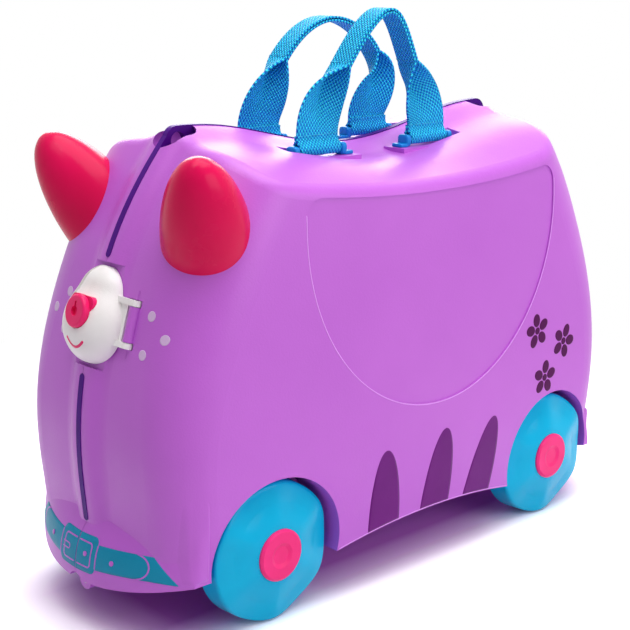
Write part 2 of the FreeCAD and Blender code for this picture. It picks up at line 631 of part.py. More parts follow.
# Hinge pins and parting trim.
nodes["front_hinge_pin"] = cylinder("front_hinge_pin", z.hinge_pin_radius, hinge_run,
                                    (third, 0.0, z.hinge_height), ALONG_X)
nodes["rear_hinge_pin"] = mirror("rear_hinge_pin", nodes["front_hinge_pin"], END)
strips = [zone.common(strip_ring) for zone in trim_windows(0.0)]
strips[0] = strips[0].cut([disc_face(z.eye_outer, spot) for spot in eye_spots])
strips = [thicken(strip, -half, half).cut(ends) for strip, ends in zip(strips, trim_ends(0.0, half))]
runs = sorted(strips[0].Solids, key=lambda run: run.CenterOfMass.x)
nodes["rear_upper_trim"] = solid("rear_upper_trim", runs[0])
nodes["top_trim"] = solid("top_trim", runs[1])
nodes["front_upper_trim"] = solid("front_upper_trim", runs[2])
nodes["front_lower_trim"] = solid("front_lower_trim", strips[1].Solids[0])
nodes["rear_lower_trim"] = solid("rear_lower_trim", strips[2].Solids[0])
for end, spot in zip(("front", "rear"), eye_spots):
    ring = cylinder(end + "_eye_ring", z.eye_outer, z.trim_half * 2,
                    (spot.x, -z.trim_half, z.eye_height), ALONG_Y)
    hole = cylinder(end + "_eye_hole", z.eye_hole, z.trim_half * 2 + 2,
                    (spot.x, -z.trim_half - 1, z.eye_height), ALONG_Y)
    nodes[end + "_tow_eye"] = cut(end + "_tow_eye", ring, hole)

# Wheels: a turned tread with a hexagonal face, hub cap, axle and push-on clip.
wheel_inner = z.well_floor + z.axle_boss_step + z.axle_side_gap
socket_floor = z.wheel_outer - z.hub_socket_depth
axle_end = z.well_floor - z.axle_boss_depth


def rim_edges(shape, radius, along):
    found = []
    for index, edge in enumerate(shape.Edges, start=1):
        if edge.Curve.TypeId == "Part::GeomCircle" and abs(edge.Curve.Radius - float(radius)) < 1e-3 \
                and abs(edge.Curve.Center.y - float(along)) < 1e-3:
            found.append(index)
    return found


def wheel(end, x):
    at = (x, 0.0, z.wheel_radius)
    bore = z.axle_radius + z.axle_run_gap
    blank = turned(end + "_wheel_blank", [
        (bore, wheel_inner), (z.wheel_radius, wheel_inner), (z.wheel_radius, z.wheel_outer),
        (z.hub_socket_radius, z.wheel_outer), (z.hub_socket_radius, socket_floor), (bore, socket_floor)],
        at, ALONG_Y)
    doc.recompute()
    tread = doc.addObject("Part::Fillet", end + "_wheel_tread")
    tread.Base = blank
    edges = [(i, float(z.wheel_edge_radius), float(z.wheel_edge_radius))
             for i in rim_edges(blank.Shape, z.wheel_radius, z.wheel_outer)]
    edges += [(i, 4.0, 4.0) for i in rim_edges(blank.Shape, z.wheel_radius, wheel_inner)]
    tread.Edges = edges
    hexes = []
    flat = z.hub_radius + 1.5
    slope = (z.wheel_radius - flat) / z.wheel_facet_fall
    for word, along in (("near", z.wheel_outer), ("far", wheel_inner - 1)):
        ring = doc.addObject("Part::RegularPolygon", "%s_wheel_%s_hex" % (end, word))
        ring.Polygon = 6
        bind(ring, "Circumradius", (flat + slope * (z.wheel_outer - along)) / math.cos(math.pi / 6))
        put(ring, (x, along, z.wheel_radius), ALONG_Y.multiply(Rotation(Vector(0, 0, 1), 30)))
        hexes.append(ring)
    facets = doc.addObject("Part::Loft", end + "_wheel_facets")
    facets.Sections = hexes
    facets.Solid = True
    facets.Ruled = True
    made = {"wheel": common(end + "_left_wheel", tread, facets)}
    y0 = z.wheel_outer
    plug = z.hub_socket_radius - z.hub_fit_gap
    made["hub_cap"] = turned(end + "_left_hub_cap", [
        (0, y0), (plug - z.hub_plug_wall, y0), (plug - z.hub_plug_wall, y0 - 4), (plug, y0 - 4), (plug, y0),
        (z.hub_radius, y0), (z.hub_radius, y0 + z.hub_cap_thick / 2),
        (z.hub_radius - 1.6, y0 + z.hub_cap_thick), (8.5, y0 + z.hub_cap_thick),
        (6.0, y0 + z.hub_cap_thick / 2), (0, y0 + z.hub_cap_thick / 2)], at, ALONG_Y)
    head = socket_floor + 0.2
    made["axle"] = turned(end + "_left_axle", [
        (0, axle_end - z.axle_tail), (z.axle_radius, axle_end - z.axle_tail), (z.axle_radius, head),
        (z.axle_head_radius, head), (z.axle_head_radius, head + z.axle_head),
        (0, head + z.axle_head)], at, ALONG_Y)
    made["axle_clip"] = turned(end + "_left_axle_clip", [
        (z.axle_radius, axle_end - z.clip_thick), (z.clip_radius, axle_end - z.clip_thick),
        (z.clip_radius, axle_end), (z.axle_radius, axle_end)], at, ALONG_Y)
    return made


for end in ("front", "rear"):
    for word, thing in wheel(end, wheel_x[end]).items():
        nodes["%s_left_%s" % (end, word)] = thing
        nodes["%s_right_%s" % (end, word)] = mirror("%s_right_%s" % (end, word), thing, ACROSS)

# Horn grips: a blunt turned form seated on the body, with a stem and a flanged screw inside.
def horn_shape():
    length, radius = float(z.horn_length), float(z.horn_radius)
    points = []
    for k in range(11):
        s = length * math.sin(math.pi / 2 * k / 10)
        points.append(Vector(radius * math.sqrt(max(0.0, 1 - (s / length) ** 1.8)), 0, s))
    side = Part.BSplineCurve()
    side.interpolate(Points=points, InitialTangent=Vector(0, 0, 1), FinalTangent=Vector(-1, 0, 0))
    deep = -24.0
    wire = Part.Wire([Part.LineSegment(Vector(0, 0, deep), Vector(radius, 0, deep)).toShape(),
                      Part.LineSegment(Vector(radius, 0, deep), points[0]).toShape(), side.toShape(),
                      Part.LineSegment(points[-1], Vector(0, 0, deep)).toShape()])
    made = Part.Face(wire).revolve(Vector(), Vector(0, 0, 1), 360)
    made.Placement = horn_frame
    return made


grip = max(horn_shape().cut(outer).Solids, key=lambda part: part.Volume)
axis_line = Part.makeLine(horn_frame.multVec(Vector(0, 0, -20)), horn_frame.multVec(Vector(0, 0, 60)))
inside = axis_line.common(cavity)
stem_end = max((horn_frame.inverse().multVec(v.Point).z for v in inside.Vertexes), default=0.0)
stem_end = stem_end - float(z.horn_stem_reach)
stem = cylinder("horn_stem", z.horn_boss_radius, 36.0, (0, 0, stem_end), PLAIN, horn_frame)
shank_hole = cylinder("horn_shank_hole", z.screw_radius + 1, z.screw_length, (0, 0, stem_end),
                      PLAIN, horn_frame)
nodes["left_horn"] = cut("left_horn", fuse("horn_whole", solid("horn_grip", grip), stem), shank_hole)
flange = cylinder("horn_flange", z.horn_boss_radius + 3, z.screw_head, (0, 0, stem_end - float(z.screw_head)),
                  PLAIN, horn_frame)
shank = cylinder("horn_shank", z.screw_radius + 1, z.screw_length - 0.5, (0, 0, stem_end),
                 PLAIN, horn_frame)
nodes["left_horn_screw"] = fuse("left_horn_screw", flange, shank)
for word in ("horn", "horn_screw"):
    nodes["right_" + word] = mirror("right_" + word, nodes["left_" + word], ACROSS)

# Catches, modelled at the front; the rear set is the mirror image.
edge_plane = -z.catch_seat + z.catch_seat_gap


def dome_shape(shrink, deep=0.0):
    """Two-lobed cover: half-ellipse sections lofted up the face, muzzle below and brow above."""
    lobes = [(float(z.catch_dome), float(z.catch_half_width), float(z.catch_half_height),
              -float(z.catch_drop)),
             (float(z.catch_brow_dome), float(z.catch_brow_half), float(z.catch_brow_height),
              float(z.catch_brow_lift))]
    low = lobes[0][3] - lobes[0][2] + shrink
    high = lobes[1][3] + lobes[1][2] - shrink
    foot = float(edge_plane)
    wires = []
    for share in (0.01, 0.04, 0.09, 0.17, 0.28, 0.4, 0.52, 0.64, 0.75, 0.84, 0.91, 0.96, 0.99):
        along = low + (high - low) * share
        sums = [0.0, 0.0]
        for out, wide, tall, middle in lobes:
            part = math.sqrt(max(0.0, 1 - ((along - middle) / (tall - shrink)) ** 2))
            sums[0] += ((out - shrink) * part) ** 6
            sums[1] += ((wide - shrink) * part) ** 6
        out, wide = [total ** (1 / 6) for total in sums]
        points = []
        for k in range(9):
            turn = math.pi * k / 8
            points.append(Vector(foot + out * math.sin(turn), wide * math.cos(turn), along))
        bow = Part.BSplineCurve()
        bow.interpolate(Points=points, InitialTangent=Vector(1, 0, 0), FinalTangent=Vector(-1, 0, 0))
        ring = [points[-1], points[-1] - Vector(deep, 0, 0), points[0] - Vector(deep, 0, 0), points[0]]
        edges = [Part.LineSegment(a, b).toShape() for a, b in zip(ring, ring[1:])] if deep \
            else [Part.LineSegment(points[-1], points[0]).toShape()]
        wires.append(Part.Wire([bow.toShape()] + edges))
    return in_catch(Part.makeLoft(wires, True, False))


arms = []
for word, start in (("upper", z.catch_arm_at), ("lower", -arm_outer)):
    arms.append(block("arm_" + word, (edge_plane + 0.1, z.catch_half_width - 9, start),
                      (edge_plane + 3.4, z.catch_hinge_side, start + z.catch_arm_thick), catch_frame))
    arms.append(cylinder("arm_eye_" + word, z.catch_arm_radius, z.catch_arm_thick,
                         (-z.catch_hinge_sink, z.catch_hinge_side, start), PLAIN, catch_frame))
arms.append(block("arm_plate", (edge_plane + 0.2, z.catch_half_width - 6, -arm_outer + 0.5),
                  (edge_plane + z.catch_plate_thick, z.catch_plate_end, arm_outer - 0.5), catch_frame))
cover_full = fuse("catch_full", solid("catch_dome", dome_shape(0.0)), *arms)
knob_hole = cylinder("knob_hole", z.knob_shaft_radius + z.knob_shaft_gap, 60.0, (-30.0, 0.0, 0.0),
                     ALONG_X, catch_frame)
knob_seat = cylinder("knob_seat", z.knob_radius + 0.4, 40.0, (z.knob_seat, 0.0, 0.0), ALONG_X, catch_frame)
swing_hole = cylinder("swing_hole", z.catch_pin_radius + z.catch_pin_gap, arm_outer * 2 + 12,
                      (-z.catch_hinge_sink, z.catch_hinge_side, -arm_outer - 6), PLAIN, catch_frame)
cam_low = -z.catch_seat + z.cam_lift
lip_low = cam_low + z.cam_thick + z.keeper_gap
notch = block("keeper_notch", (-30.0, -60.0, -z.keeper_half - 7),
              (lip_low + z.keeper_lip + 0.8, -10.0, z.keeper_half + 1.5), catch_frame)
catch_hollow = cut("catch_hollow", cover_full, solid("catch_room", dome_shape(float(z.catch_wall), 3.0)))
nodes["front_catch_cover"] = cut("front_catch_cover", catch_hollow, knob_hole, knob_seat, swing_hole, notch)


def nose_shape():
    """Soft triangle, level under the knob, cut to the dome that it sits on."""
    corners = [(z.nose_half, z.nose_top), (-z.nose_half, z.nose_top), (0.0, -z.nose_drop)]
    outline = Part.makePolygon([Vector(0, float(a), float(b)) for a, b in corners + corners[:1]])
    prism = Part.Face(outline).extrude(Vector(float(z.knob_seat), 0, 0))
    uprights = [e for e in prism.Edges if abs(e.tangentAt(e.FirstParameter).x) > 0.99]
    prism = prism.makeFillet(float(z.nose_round), uprights)
    room = Part.makeCylinder(float(z.knob_shaft_radius) + 0.3, 60.0, Vector(-30, 0, 0), END)
    pad = in_catch(prism.cut(room)).cut(dome_shape(0.0))
    return max(pad.Solids, key=lambda piece: piece.Volume)


nodes["front_nose_pad"] = solid("front_nose_pad", nose_shape())
nodes["front_catch_pin"] = cylinder("front_catch_pin", z.catch_pin_radius, arm_outer * 2,
                                    (-z.catch_hinge_sink, z.catch_hinge_side, -arm_outer), PLAIN, catch_frame)
knob_low = z.knob_seat + 0.2
disc = cylinder("knob_disc", z.knob_radius, z.knob_rise, (knob_low, 0.0, 0.0), ALONG_X, catch_frame)
doc.recompute()
round_disc = doc.addObject("Part::Fillet", "knob_round")
round_disc.Base = disc
outer_rim = max(range(len(disc.Shape.Edges)), key=lambda i: disc.Shape.Edges[i].CenterOfMass.x
                if disc.Shape.Edges[i].Curve.TypeId == "Part::GeomCircle" else -1e9)
round_disc.Edges = [(outer_rim + 1, 1.8, 1.8)]
shaft = cylinder("knob_shaft", z.knob_shaft_radius, knob_low - cam_low + 0.5, (cam_low, 0.0, 0.0),
                 ALONG_X, catch_frame)
key_hole = cylinder("key_hole", 3.2, 6.0, (knob_low + z.knob_rise - 2.6, 0.0, 0.0), ALONG_X, catch_frame)
key_slot = block("key_slot", (knob_low + z.knob_rise - 2.6, -0.9, 0.0), (40.0, 0.9, 6.2), catch_frame)
nodes["front_lock_knob"] = cut("front_lock_knob", fuse("knob_whole", round_disc, shaft), key_hole, key_slot)
cam_bar = block("cam_bar", (cam_low, -z.cam_half, 0.0), (cam_low + z.cam_thick, z.cam_half, z.cam_length),
                catch_frame)
cam_hub = cylinder("cam_hub", z.knob_shaft_radius + 2, z.cam_thick, (cam_low, 0.0, 0.0),
                   ALONG_X, catch_frame)
cam_bore = cylinder("cam_bore", z.knob_shaft_radius, 20.0, (cam_low - 5, 0.0, 0.0), ALONG_X, catch_frame)
nodes["front_lock_cam"] = cut("front_lock_cam", fuse("cam_whole", cam_bar, cam_hub), cam_bore)
post_in = -z.cam_length - 1
post_out = post_in - 2.8
foot = block("keeper_foot", (-z.catch_seat, post_out - 3, -z.keeper_half),
             (-z.catch_seat + 1.5, post_in, z.keeper_half),
             catch_frame)
post = block("keeper_post", (-z.catch_seat, post_out, -z.keeper_half),
             (lip_low + z.keeper_lip, post_in, z.keeper_half),
             catch_frame)
lip = block("keeper_lip", (lip_low, post_out, -z.keeper_half),
            (lip_low + z.keeper_lip, post_in + 3.4, z.keeper_half),
            catch_frame)
peg = cylinder("keeper_peg", z.keeper_peg_radius, 3.0, (-z.catch_seat - 2.8, keeper_peg_at, 0.0),
               ALONG_X, catch_frame)
nodes["front_keeper"] = fuse("front_keeper", foot, post, lip, peg)
for word in ("catch_cover", "catch_pin", "lock_knob", "lock_cam", "keeper"):
    nodes["rear_" + word] = mirror("rear_" + word, nodes["front_" + word], END)

# Carry straps: anchor bars with tongues, and a webbing loop that twists from bar to grip.
bar_height = z.anchor_floor + z.anchor_bar_lift
for end, way in (("front", 1.0), ("rear", -1.0)):
    middle = z.middle_shift + z.anchor_forward * way
    inner = z.strap_width / 2 + 0.5
    bar = cylinder(end + "_bar", z.anchor_bar_radius, inner * 2 + 2,
                   (middle - inner - 1, z.anchor_side, bar_height), ALONG_X)
    pieces = [bar]
    for side in (1.0, -1.0):
        tag = "%s_%s" % (end, "fore" if side > 0 else "aft")
        a, b = (middle + inner, middle + inner + z.anchor_post) if side > 0 else \
            (middle - inner - z.anchor_post, middle - inner)
        pieces.append(block(tag + "_post", (a, z.anchor_side - z.anchor_half_width, z.anchor_floor),
                            (b, z.anchor_side + z.anchor_half_width, bar_height + z.anchor_bar_radius + 0.8)))
        c, d = (b, b + z.anchor_tongue) if side > 0 else (a - z.anchor_tongue, a)
        pieces.append(block(tag + "_tongue", (c, z.anchor_side - z.anchor_half_width, z.anchor_floor),
                            (d, z.anchor_side + z.anchor_half_width, z.anchor_floor + 2.6)))
        pieces.append(cylinder(tag + "_peg", z.screw_radius, 3.4,
                               (a + z.anchor_post / 2, z.anchor_side, z.anchor_floor - 3.4)))
    nodes["%s_left_anchor" % end] = fuse("%s_left_anchor" % end, *pieces)
    nodes["%s_right_anchor" % end] = mirror("%s_right_anchor" % end, nodes["%s_left_anchor" % end], ACROSS)


def strap_shape(word, way):
    """Webbing as a loft of flat sections: broad along X at the bars, turned across Y at the grip."""
    side, reach, shift = way * float(z.anchor_side), float(z.anchor_forward), float(z.middle_shift)
    base = float(bar_height)
    eye = float(z.anchor_bar_radius + z.strap_eye_gap)
    thick, grip = float(z.strap_thick), float(z.strap_grip_thick)
    wide, narrow = float(z.strap_width), float(z.strap_grip_width)
    foot = base + float(z.strap_foot)
    spots = [Vector(shift + reach, side, foot)]
    for place in ("_fore", "_top", "_aft"):
        forward, up = [float(getattr(z, word + place + tail)) for tail in ("_forward", "")]
        spots.append(Vector(forward, side, up))
    spots.append(Vector(shift - reach, side, foot))
    path = Part.BSplineCurve()
    path.interpolate(Points=spots, InitialTangent=Vector(0, 0, 1), FinalTangent=Vector(0, 0, -1),
                     Scale=False)
    length = path.length()
    sections = []
    count = 24
    for k in range(count + 1):
        spot = path.parameterAtDistance(length * k / count)
        along = path.tangent(spot)[0]
        u = 2.0 * k / count - 1
        share = min(1.0, max(0.0, (1 - abs(u)) / float(z.strap_turn_share)))
        share = share * share * (3 - 2 * share)
        turn = math.pi / 2 * share
        flat = along.cross(ACROSS).normalize()
        sign = 1.0 if u < 0 else -1.0
        across = flat * (math.cos(turn) * sign) + ACROSS * math.sin(turn)
        normal = along.cross(across).normalize()
        broad = (wide + (narrow - wide) * share) / 2
        deep = (thick + (grip - thick) * share) / 2
        centre = path.value(spot)
        sections.append([centre + across * (broad * a) + normal * (deep * b)
                         for a, b in ((-1, -1), (1, -1), (1, 1), (-1, 1))])
    drop = Vector(0, 0, base + eye - foot)
    feet = [[corner + drop for corner in sections[k]] for k in (0, -1)]
    sections = [feet[0]] + sections + [feet[1]]
    band = Part.makeLoft([Part.makePolygon(corners + corners[:1]) for corners in sections], True, True)
    spans = [shift + reach, shift - reach]
    eyes = [Part.makeCylinder(eye + thick, wide, Vector(x - wide / 2, side, base), END) for x in spans]
    bores = [Part.makeCylinder(eye, wide + 2, Vector(x - wide / 2 - 1, side, base), END) for x in spans]
    return band.fuse(eyes).cut(bores)


for word, way in (("left", 1), ("right", -1)):
    nodes[word + "_strap"] = solid(word + "_strap", strap_shape(word, way).Solids[0])
doc.recompute()

for thing in doc.Objects:
    if "Invalid" in thing.State or "Error" in thing.State:
        raise RuntimeError("%s did not compute: %s" % (thing.Name, thing.State))
os.makedirs("parts", exist_ok=True)
for name in sorted(nodes):
    thing = nodes[name]
    thing.Label = name
    shape = thing.Shape
    if shape.isNull() or not shape.isValid() or len(shape.Solids) != 1:
        raise RuntimeError("%s is not one valid solid" % name)
    shape.exportStep("parts/%s.step" % name)
print(len(nodes), "nodes written")
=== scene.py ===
import bpy
import math
import numpy as np
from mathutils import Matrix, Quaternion, Vector


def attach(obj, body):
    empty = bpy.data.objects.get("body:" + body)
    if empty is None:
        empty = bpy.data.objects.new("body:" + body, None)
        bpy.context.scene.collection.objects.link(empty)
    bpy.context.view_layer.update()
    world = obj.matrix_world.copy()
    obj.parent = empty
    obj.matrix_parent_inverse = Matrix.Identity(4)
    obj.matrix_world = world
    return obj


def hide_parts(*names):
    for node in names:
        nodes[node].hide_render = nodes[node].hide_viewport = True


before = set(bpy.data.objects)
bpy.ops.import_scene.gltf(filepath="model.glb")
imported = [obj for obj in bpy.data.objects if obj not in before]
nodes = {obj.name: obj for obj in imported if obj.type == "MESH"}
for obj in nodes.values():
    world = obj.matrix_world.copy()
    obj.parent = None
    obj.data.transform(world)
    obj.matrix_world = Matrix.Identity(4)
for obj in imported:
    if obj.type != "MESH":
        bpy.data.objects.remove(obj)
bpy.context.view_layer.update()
scene = bpy.context.scene
scene.view_settings.view_transform = "Standard"
perMetre = 1000.0
sides = (("left", 1), ("right", -1))
ends = ("front", "rear")
print("frame loaded,", len(nodes), "nodes")


# sRGB bytes to the linear values that shaders use
def tint(red, green, blue):
    part = np.array([red, green, blue]) / 255.0
    part = np.where(part <= 0.04045, part / 12.92, ((part + 0.055) / 1.055) ** 2.4)
    return (*part.tolist(), 1.0)


# small helpers for shader trees
def addNode(tree, kind, **values):
    node = tree.nodes.new(kind)
    for name, value in values.items():
        if hasattr(node, name):
            setattr(node, name, value)
        else:
            node.inputs[name].default_value = value
    return node


def blankPaint(name):
    paint = bpy.data.materials.new(name)
    paint.use_nodes = True
    tree = paint.node_tree
    shader = tree.nodes["Principled BSDF"]
    return paint, tree, shader


def noise(tree, coords, scale, detail=3.0, rough=0.55):
    node = addNode(tree, "ShaderNodeTexNoise", Scale=scale, Detail=detail, Roughness=rough)
    tree.links.new(coords, node.inputs["Vector"])
    return node.outputs["Fac"]


def remap(tree, source, low, high, toLow, toHigh):
    node = tree.nodes.new("ShaderNodeMapRange")
    for spot, value in zip((1, 2, 3, 4), (low, high, toLow, toHigh)):
        node.inputs[spot].default_value = value
    tree.links.new(source, node.inputs[0])
    return node.outputs[0]


def blendTint(tree, share, first, second):
    node = tree.nodes.new("ShaderNodeMix")
    node.data_type = "RGBA"
    node.inputs["A"].default_value = first
    node.inputs["B"].default_value = second
    tree.links.new(share, node.inputs["Factor"])
    return node.outputs["Result"]


def math2(tree, operation, first, second=None):
    node = tree.nodes.new("ShaderNodeMath")
    node.operation = operation
    for spot, value in enumerate((first, second)):
        if value is None:
            continue
        if isinstance(value, (int, float)):
            node.inputs[spot].default_value = value
        else:
            tree.links.new(value, node.inputs[spot])
    return node.outputs[0]


# camera placed and turned as the photographer stood
cameraPlan = {
    "place": (0.65598, 0.69372, 0.41031),
    "azimuth": 137.549, "elevation": 14.477, "roll": 0.371,
    "lens": 78.0023, "sensor": 36.0, "clipEnd": 50.0,
}


def addCamera(plan):
    data = bpy.data.cameras.new("viewCamera")
    data.lens = plan["lens"]
    data.sensor_width = plan["sensor"]
    data.clip_end = plan["clipEnd"]
    made = bpy.data.objects.new("viewCamera", data)
    scene.collection.objects.link(made)
    azimuth, elevation = math.radians(plan["azimuth"]), math.radians(plan["elevation"])
    back = Vector((math.sin(azimuth) * math.cos(elevation),
                   -math.cos(azimuth) * math.cos(elevation), math.sin(elevation)))
    roll = Quaternion((0, 0, 1), math.radians(plan["roll"]))
    made.rotation_mode = "QUATERNION"
    made.rotation_quaternion = (-back).to_track_quat("-Z", "Y") @ roll
    made.location = plan["place"]
    scene.camera = made


addCamera(cameraPlan)

# soft studio: a big box overhead, a low wide one behind for the top's shine, a broad fill on the long side
# and a small one high in front
lightPlan = [
    {"name": "topBox", "place": (-0.1, 0.15, 1.55), "aim": (0, 0, 0.2),
     "size": (1.4, 1.3), "power": 21.5},
    {"name": "backBox", "place": (-1.2, -1.25, 0.95), "aim": (0, 0, 0.3),
     "size": (1.8, 0.8), "power": 22.0},
    {"name": "sideBox", "place": (-0.55, 1.75, 0.8), "aim": (0, 0, 0.15),
     "size": (1.6, 1.1), "power": 14.0},
    {"name": "browBox", "place": (0.95, 0.1, 1.75), "aim": (0.15, 0, 0.25),
     "size": (0.8, 0.8), "power": 4.2},
]


def addLights(plans):
    for plan in plans:
        data = bpy.data.lights.new(plan["name"], "AREA")
        data.shape = "RECTANGLE"
        data.size, data.size_y = plan["size"]
        data.energy = plan["power"]
        lamp = bpy.data.objects.new(plan["name"], data)
        scene.collection.objects.link(lamp)
        lamp.location = plan["place"]
        lamp.rotation_mode = "QUATERNION"
        lamp.rotation_quaternion = (Vector(plan["aim"]) - Vector(plan["place"])).to_track_quat("-Z", "Y")


# 1 for rays that should meet plain white: camera, glossy or transmitted
def whiteRays(tree):
    path = tree.nodes.new("ShaderNodeLightPath")
    seen = math2(tree, "MAXIMUM", path.outputs["Is Camera Ray"], path.outputs["Is Glossy Ray"])
    return math2(tree, "MAXIMUM", seen, path.outputs["Is Transmission Ray"])


worldPlan = {"fill": 0.27, "fillTint": (0.98, 0.97, 1.0, 1.0), "white": (1.0, 1.0, 1.0, 1.0)}


def addWorld(plan):
    world = bpy.data.worlds.new("studioWorld")
    world.use_nodes = True
    tree = world.node_tree
    tree.nodes.clear()
    fill = addNode(tree, "ShaderNodeBackground", Color=plan["fillTint"], Strength=plan["fill"])
    white = addNode(tree, "ShaderNodeBackground", Color=plan["white"], Strength=1.0)
    mix = tree.nodes.new("ShaderNodeMixShader")
    out = tree.nodes.new("ShaderNodeOutputWorld")
    tree.links.new(whiteRays(tree), mix.inputs[0])
    tree.links.new(fill.outputs[0], mix.inputs[1])
    tree.links.new(white.outputs[0], mix.inputs[2])
    tree.links.new(mix.outputs[0], out.inputs[0])
    scene.world = world


# floor, in metres: "under" is where the painted shadow below the case starts and ends to fade along X
# and along Y, and from "near" to "far" plain white takes over
floorPlan = {
    "half": 14.0, "height": -0.0004, "seen": (1.42, 1.40, 1.42, 1.0), "bounce": (0.70, 0.66, 0.72, 1.0),
    # the tint for below the case is a painted shadow, a dark purple
    "under": ((0.18, 0.25), (0.045, 0.090)), "paintedShadowTint": (0.52, 0.22, 0.60, 1.0),
    "near": 0.22, "far": 0.62,
}


# the floor's colour: below the case it is darkened by a painted shadow, purple like the plastic
def floorTintWithPaintedShadow(tree, place, white, plan):
    parts = tree.nodes.new("ShaderNodeSeparateXYZ")
    tree.links.new(place, parts.inputs[0])
    shadowFades = [remap(tree, math2(tree, "ABSOLUTE", parts.outputs[k]), *fade, 1.0, 0.0)
              for k, fade in enumerate(plan["under"])]
    below = math2(tree, "MULTIPLY", white, math2(tree, "MULTIPLY", *shadowFades))
    # mix the painted shadow's dark purple into the floor below the case
    shade = addNode(tree, "ShaderNodeMix", data_type="RGBA")
    tree.links.new(below, shade.inputs["Factor"])
    tree.links.new(blendTint(tree, white, plan["bounce"], plan["seen"]), shade.inputs["A"])
    shade.inputs["B"].default_value = plan["paintedShadowTint"]
    return shade.outputs["Result"]


# the share of plain white grows from the object outward, so that only the shadow close in is seen
def floorPaint(plan):
    paint = bpy.data.materials.new("paleFloor")
    paint.use_nodes = True
    tree = paint.node_tree
    tree.nodes.clear()
    place = tree.nodes.new("ShaderNodeTexCoord").outputs["Object"]
    white = whiteRays(tree)
    matt = tree.nodes.new("ShaderNodeBsdfDiffuse")
    tree.links.new(floorTintWithPaintedShadow(tree, place, white, plan), matt.inputs["Color"])
    apart = addNode(tree, "ShaderNodeVectorMath", operation="LENGTH")
    tree.links.new(place, apart.inputs[0])
    grow = remap(tree, apart.outputs["Value"], plan["near"], plan["far"], 0.0, 1.0)
    glow = addNode(tree, "ShaderNodeEmission", Strength=1.0)
    mix = tree.nodes.new("ShaderNodeMixShader")
    out = tree.nodes.new("ShaderNodeOutputMaterial")
    tree.links.new(math2(tree, "MULTIPLY", white, grow), mix.inputs[0])
    tree.links.new(matt.outputs[0], mix.inputs[1])
    tree.links.new(glow.outputs[0], mix.inputs[2])
    tree.links.new(mix.outputs[0], out.inputs[0])
    return paint


def addFloor(plan):
    half = plan["half"]
    square = ((-half, -half), (half, -half), (half, half), (-half, half))
    mesh = bpy.data.meshes.new("studioFloor")
    mesh.from_pydata([(x, y, plan["height"]) for x, y in square], [], [(0, 1, 2, 3)])
    mesh.materials.append(floorPaint(plan))
    floor = bpy.data.objects.new("studioFloor", mesh)
    scene.collection.objects.link(floor)


addLights(lightPlan)
addWorld(worldPlan)
addFloor(floorPlan)
print("camera, lights and floor set")

# what every plastic shares: the range of noise that counts, gloss spots against mottle spots,
# the swing of the roughness and the grain's depth in metres
plasticForm = {
    "range": (0.3, 0.7), "sheenRatio": 2.6, "sheenDetail": 4.0, "swing": (-0.04, 0.05),
    "grainDetail": 2.0, "depth": 0.0003, "ior": 1.49,
}


# moulded plastic: faint mottle in colour, uneven gloss, and a fine spark-eroded grain as bump
def mouldedPlastic(name, plan):
    form = plasticForm
    paint, tree, shader = blankPaint(name)
    coords = tree.nodes.new("ShaderNodeTexCoord").outputs["Object"]
    mottle = remap(tree, noise(tree, coords, plan["mottleScale"]), *form["range"], 0.0, 1.0)
    tree.links.new(blendTint(tree, mottle, plan["tint"], plan["deep"]), shader.inputs["Base Color"])
    sheen = noise(tree, coords, plan["mottleScale"] * form["sheenRatio"], form["sheenDetail"])
    low, high = [plan["rough"] + swing for swing in form["swing"]]
    tree.links.new(remap(tree, sheen, *form["range"], low, high), shader.inputs["Roughness"])
    bump = addNode(tree, "ShaderNodeBump", Strength=plan["grain"], Distance=form["depth"])
    tree.links.new(noise(tree, coords, plan["grainScale"], form["grainDetail"]), bump.inputs["Height"])
    tree.links.new(bump.outputs["Normal"], shader.inputs["Normal"])
    shader.inputs["Specular IOR Level"].default_value = plan["shine"]
    shader.inputs["IOR"].default_value = form["ior"]
    return paint


# turned or drawn steel: brushed along the node's length, a touch of dark in the scratches
def steel(name, plan):
    paint, tree, shader = blankPaint(name)
    coords = tree.nodes.new("ShaderNodeTexCoord").outputs["Object"]
    stretch = addNode(tree, "ShaderNodeMapping", vector_type="POINT", Scale=plan["stretch"])
    tree.links.new(coords, stretch.inputs["Vector"])
    brush = noise(tree, stretch.outputs[0], plan["scale"], plan["detail"])
    tree.links.new(blendTint(tree, brush, plan["tint"], plan["deep"]), shader.inputs["Base Color"])
    gloss = remap(tree, brush, *plan["range"], plan["rough"], plan["rough"] + plan["swing"])
    tree.links.new(gloss, shader.inputs["Roughness"])
    shader.inputs["Metallic"].default_value = 1.0
    return paint


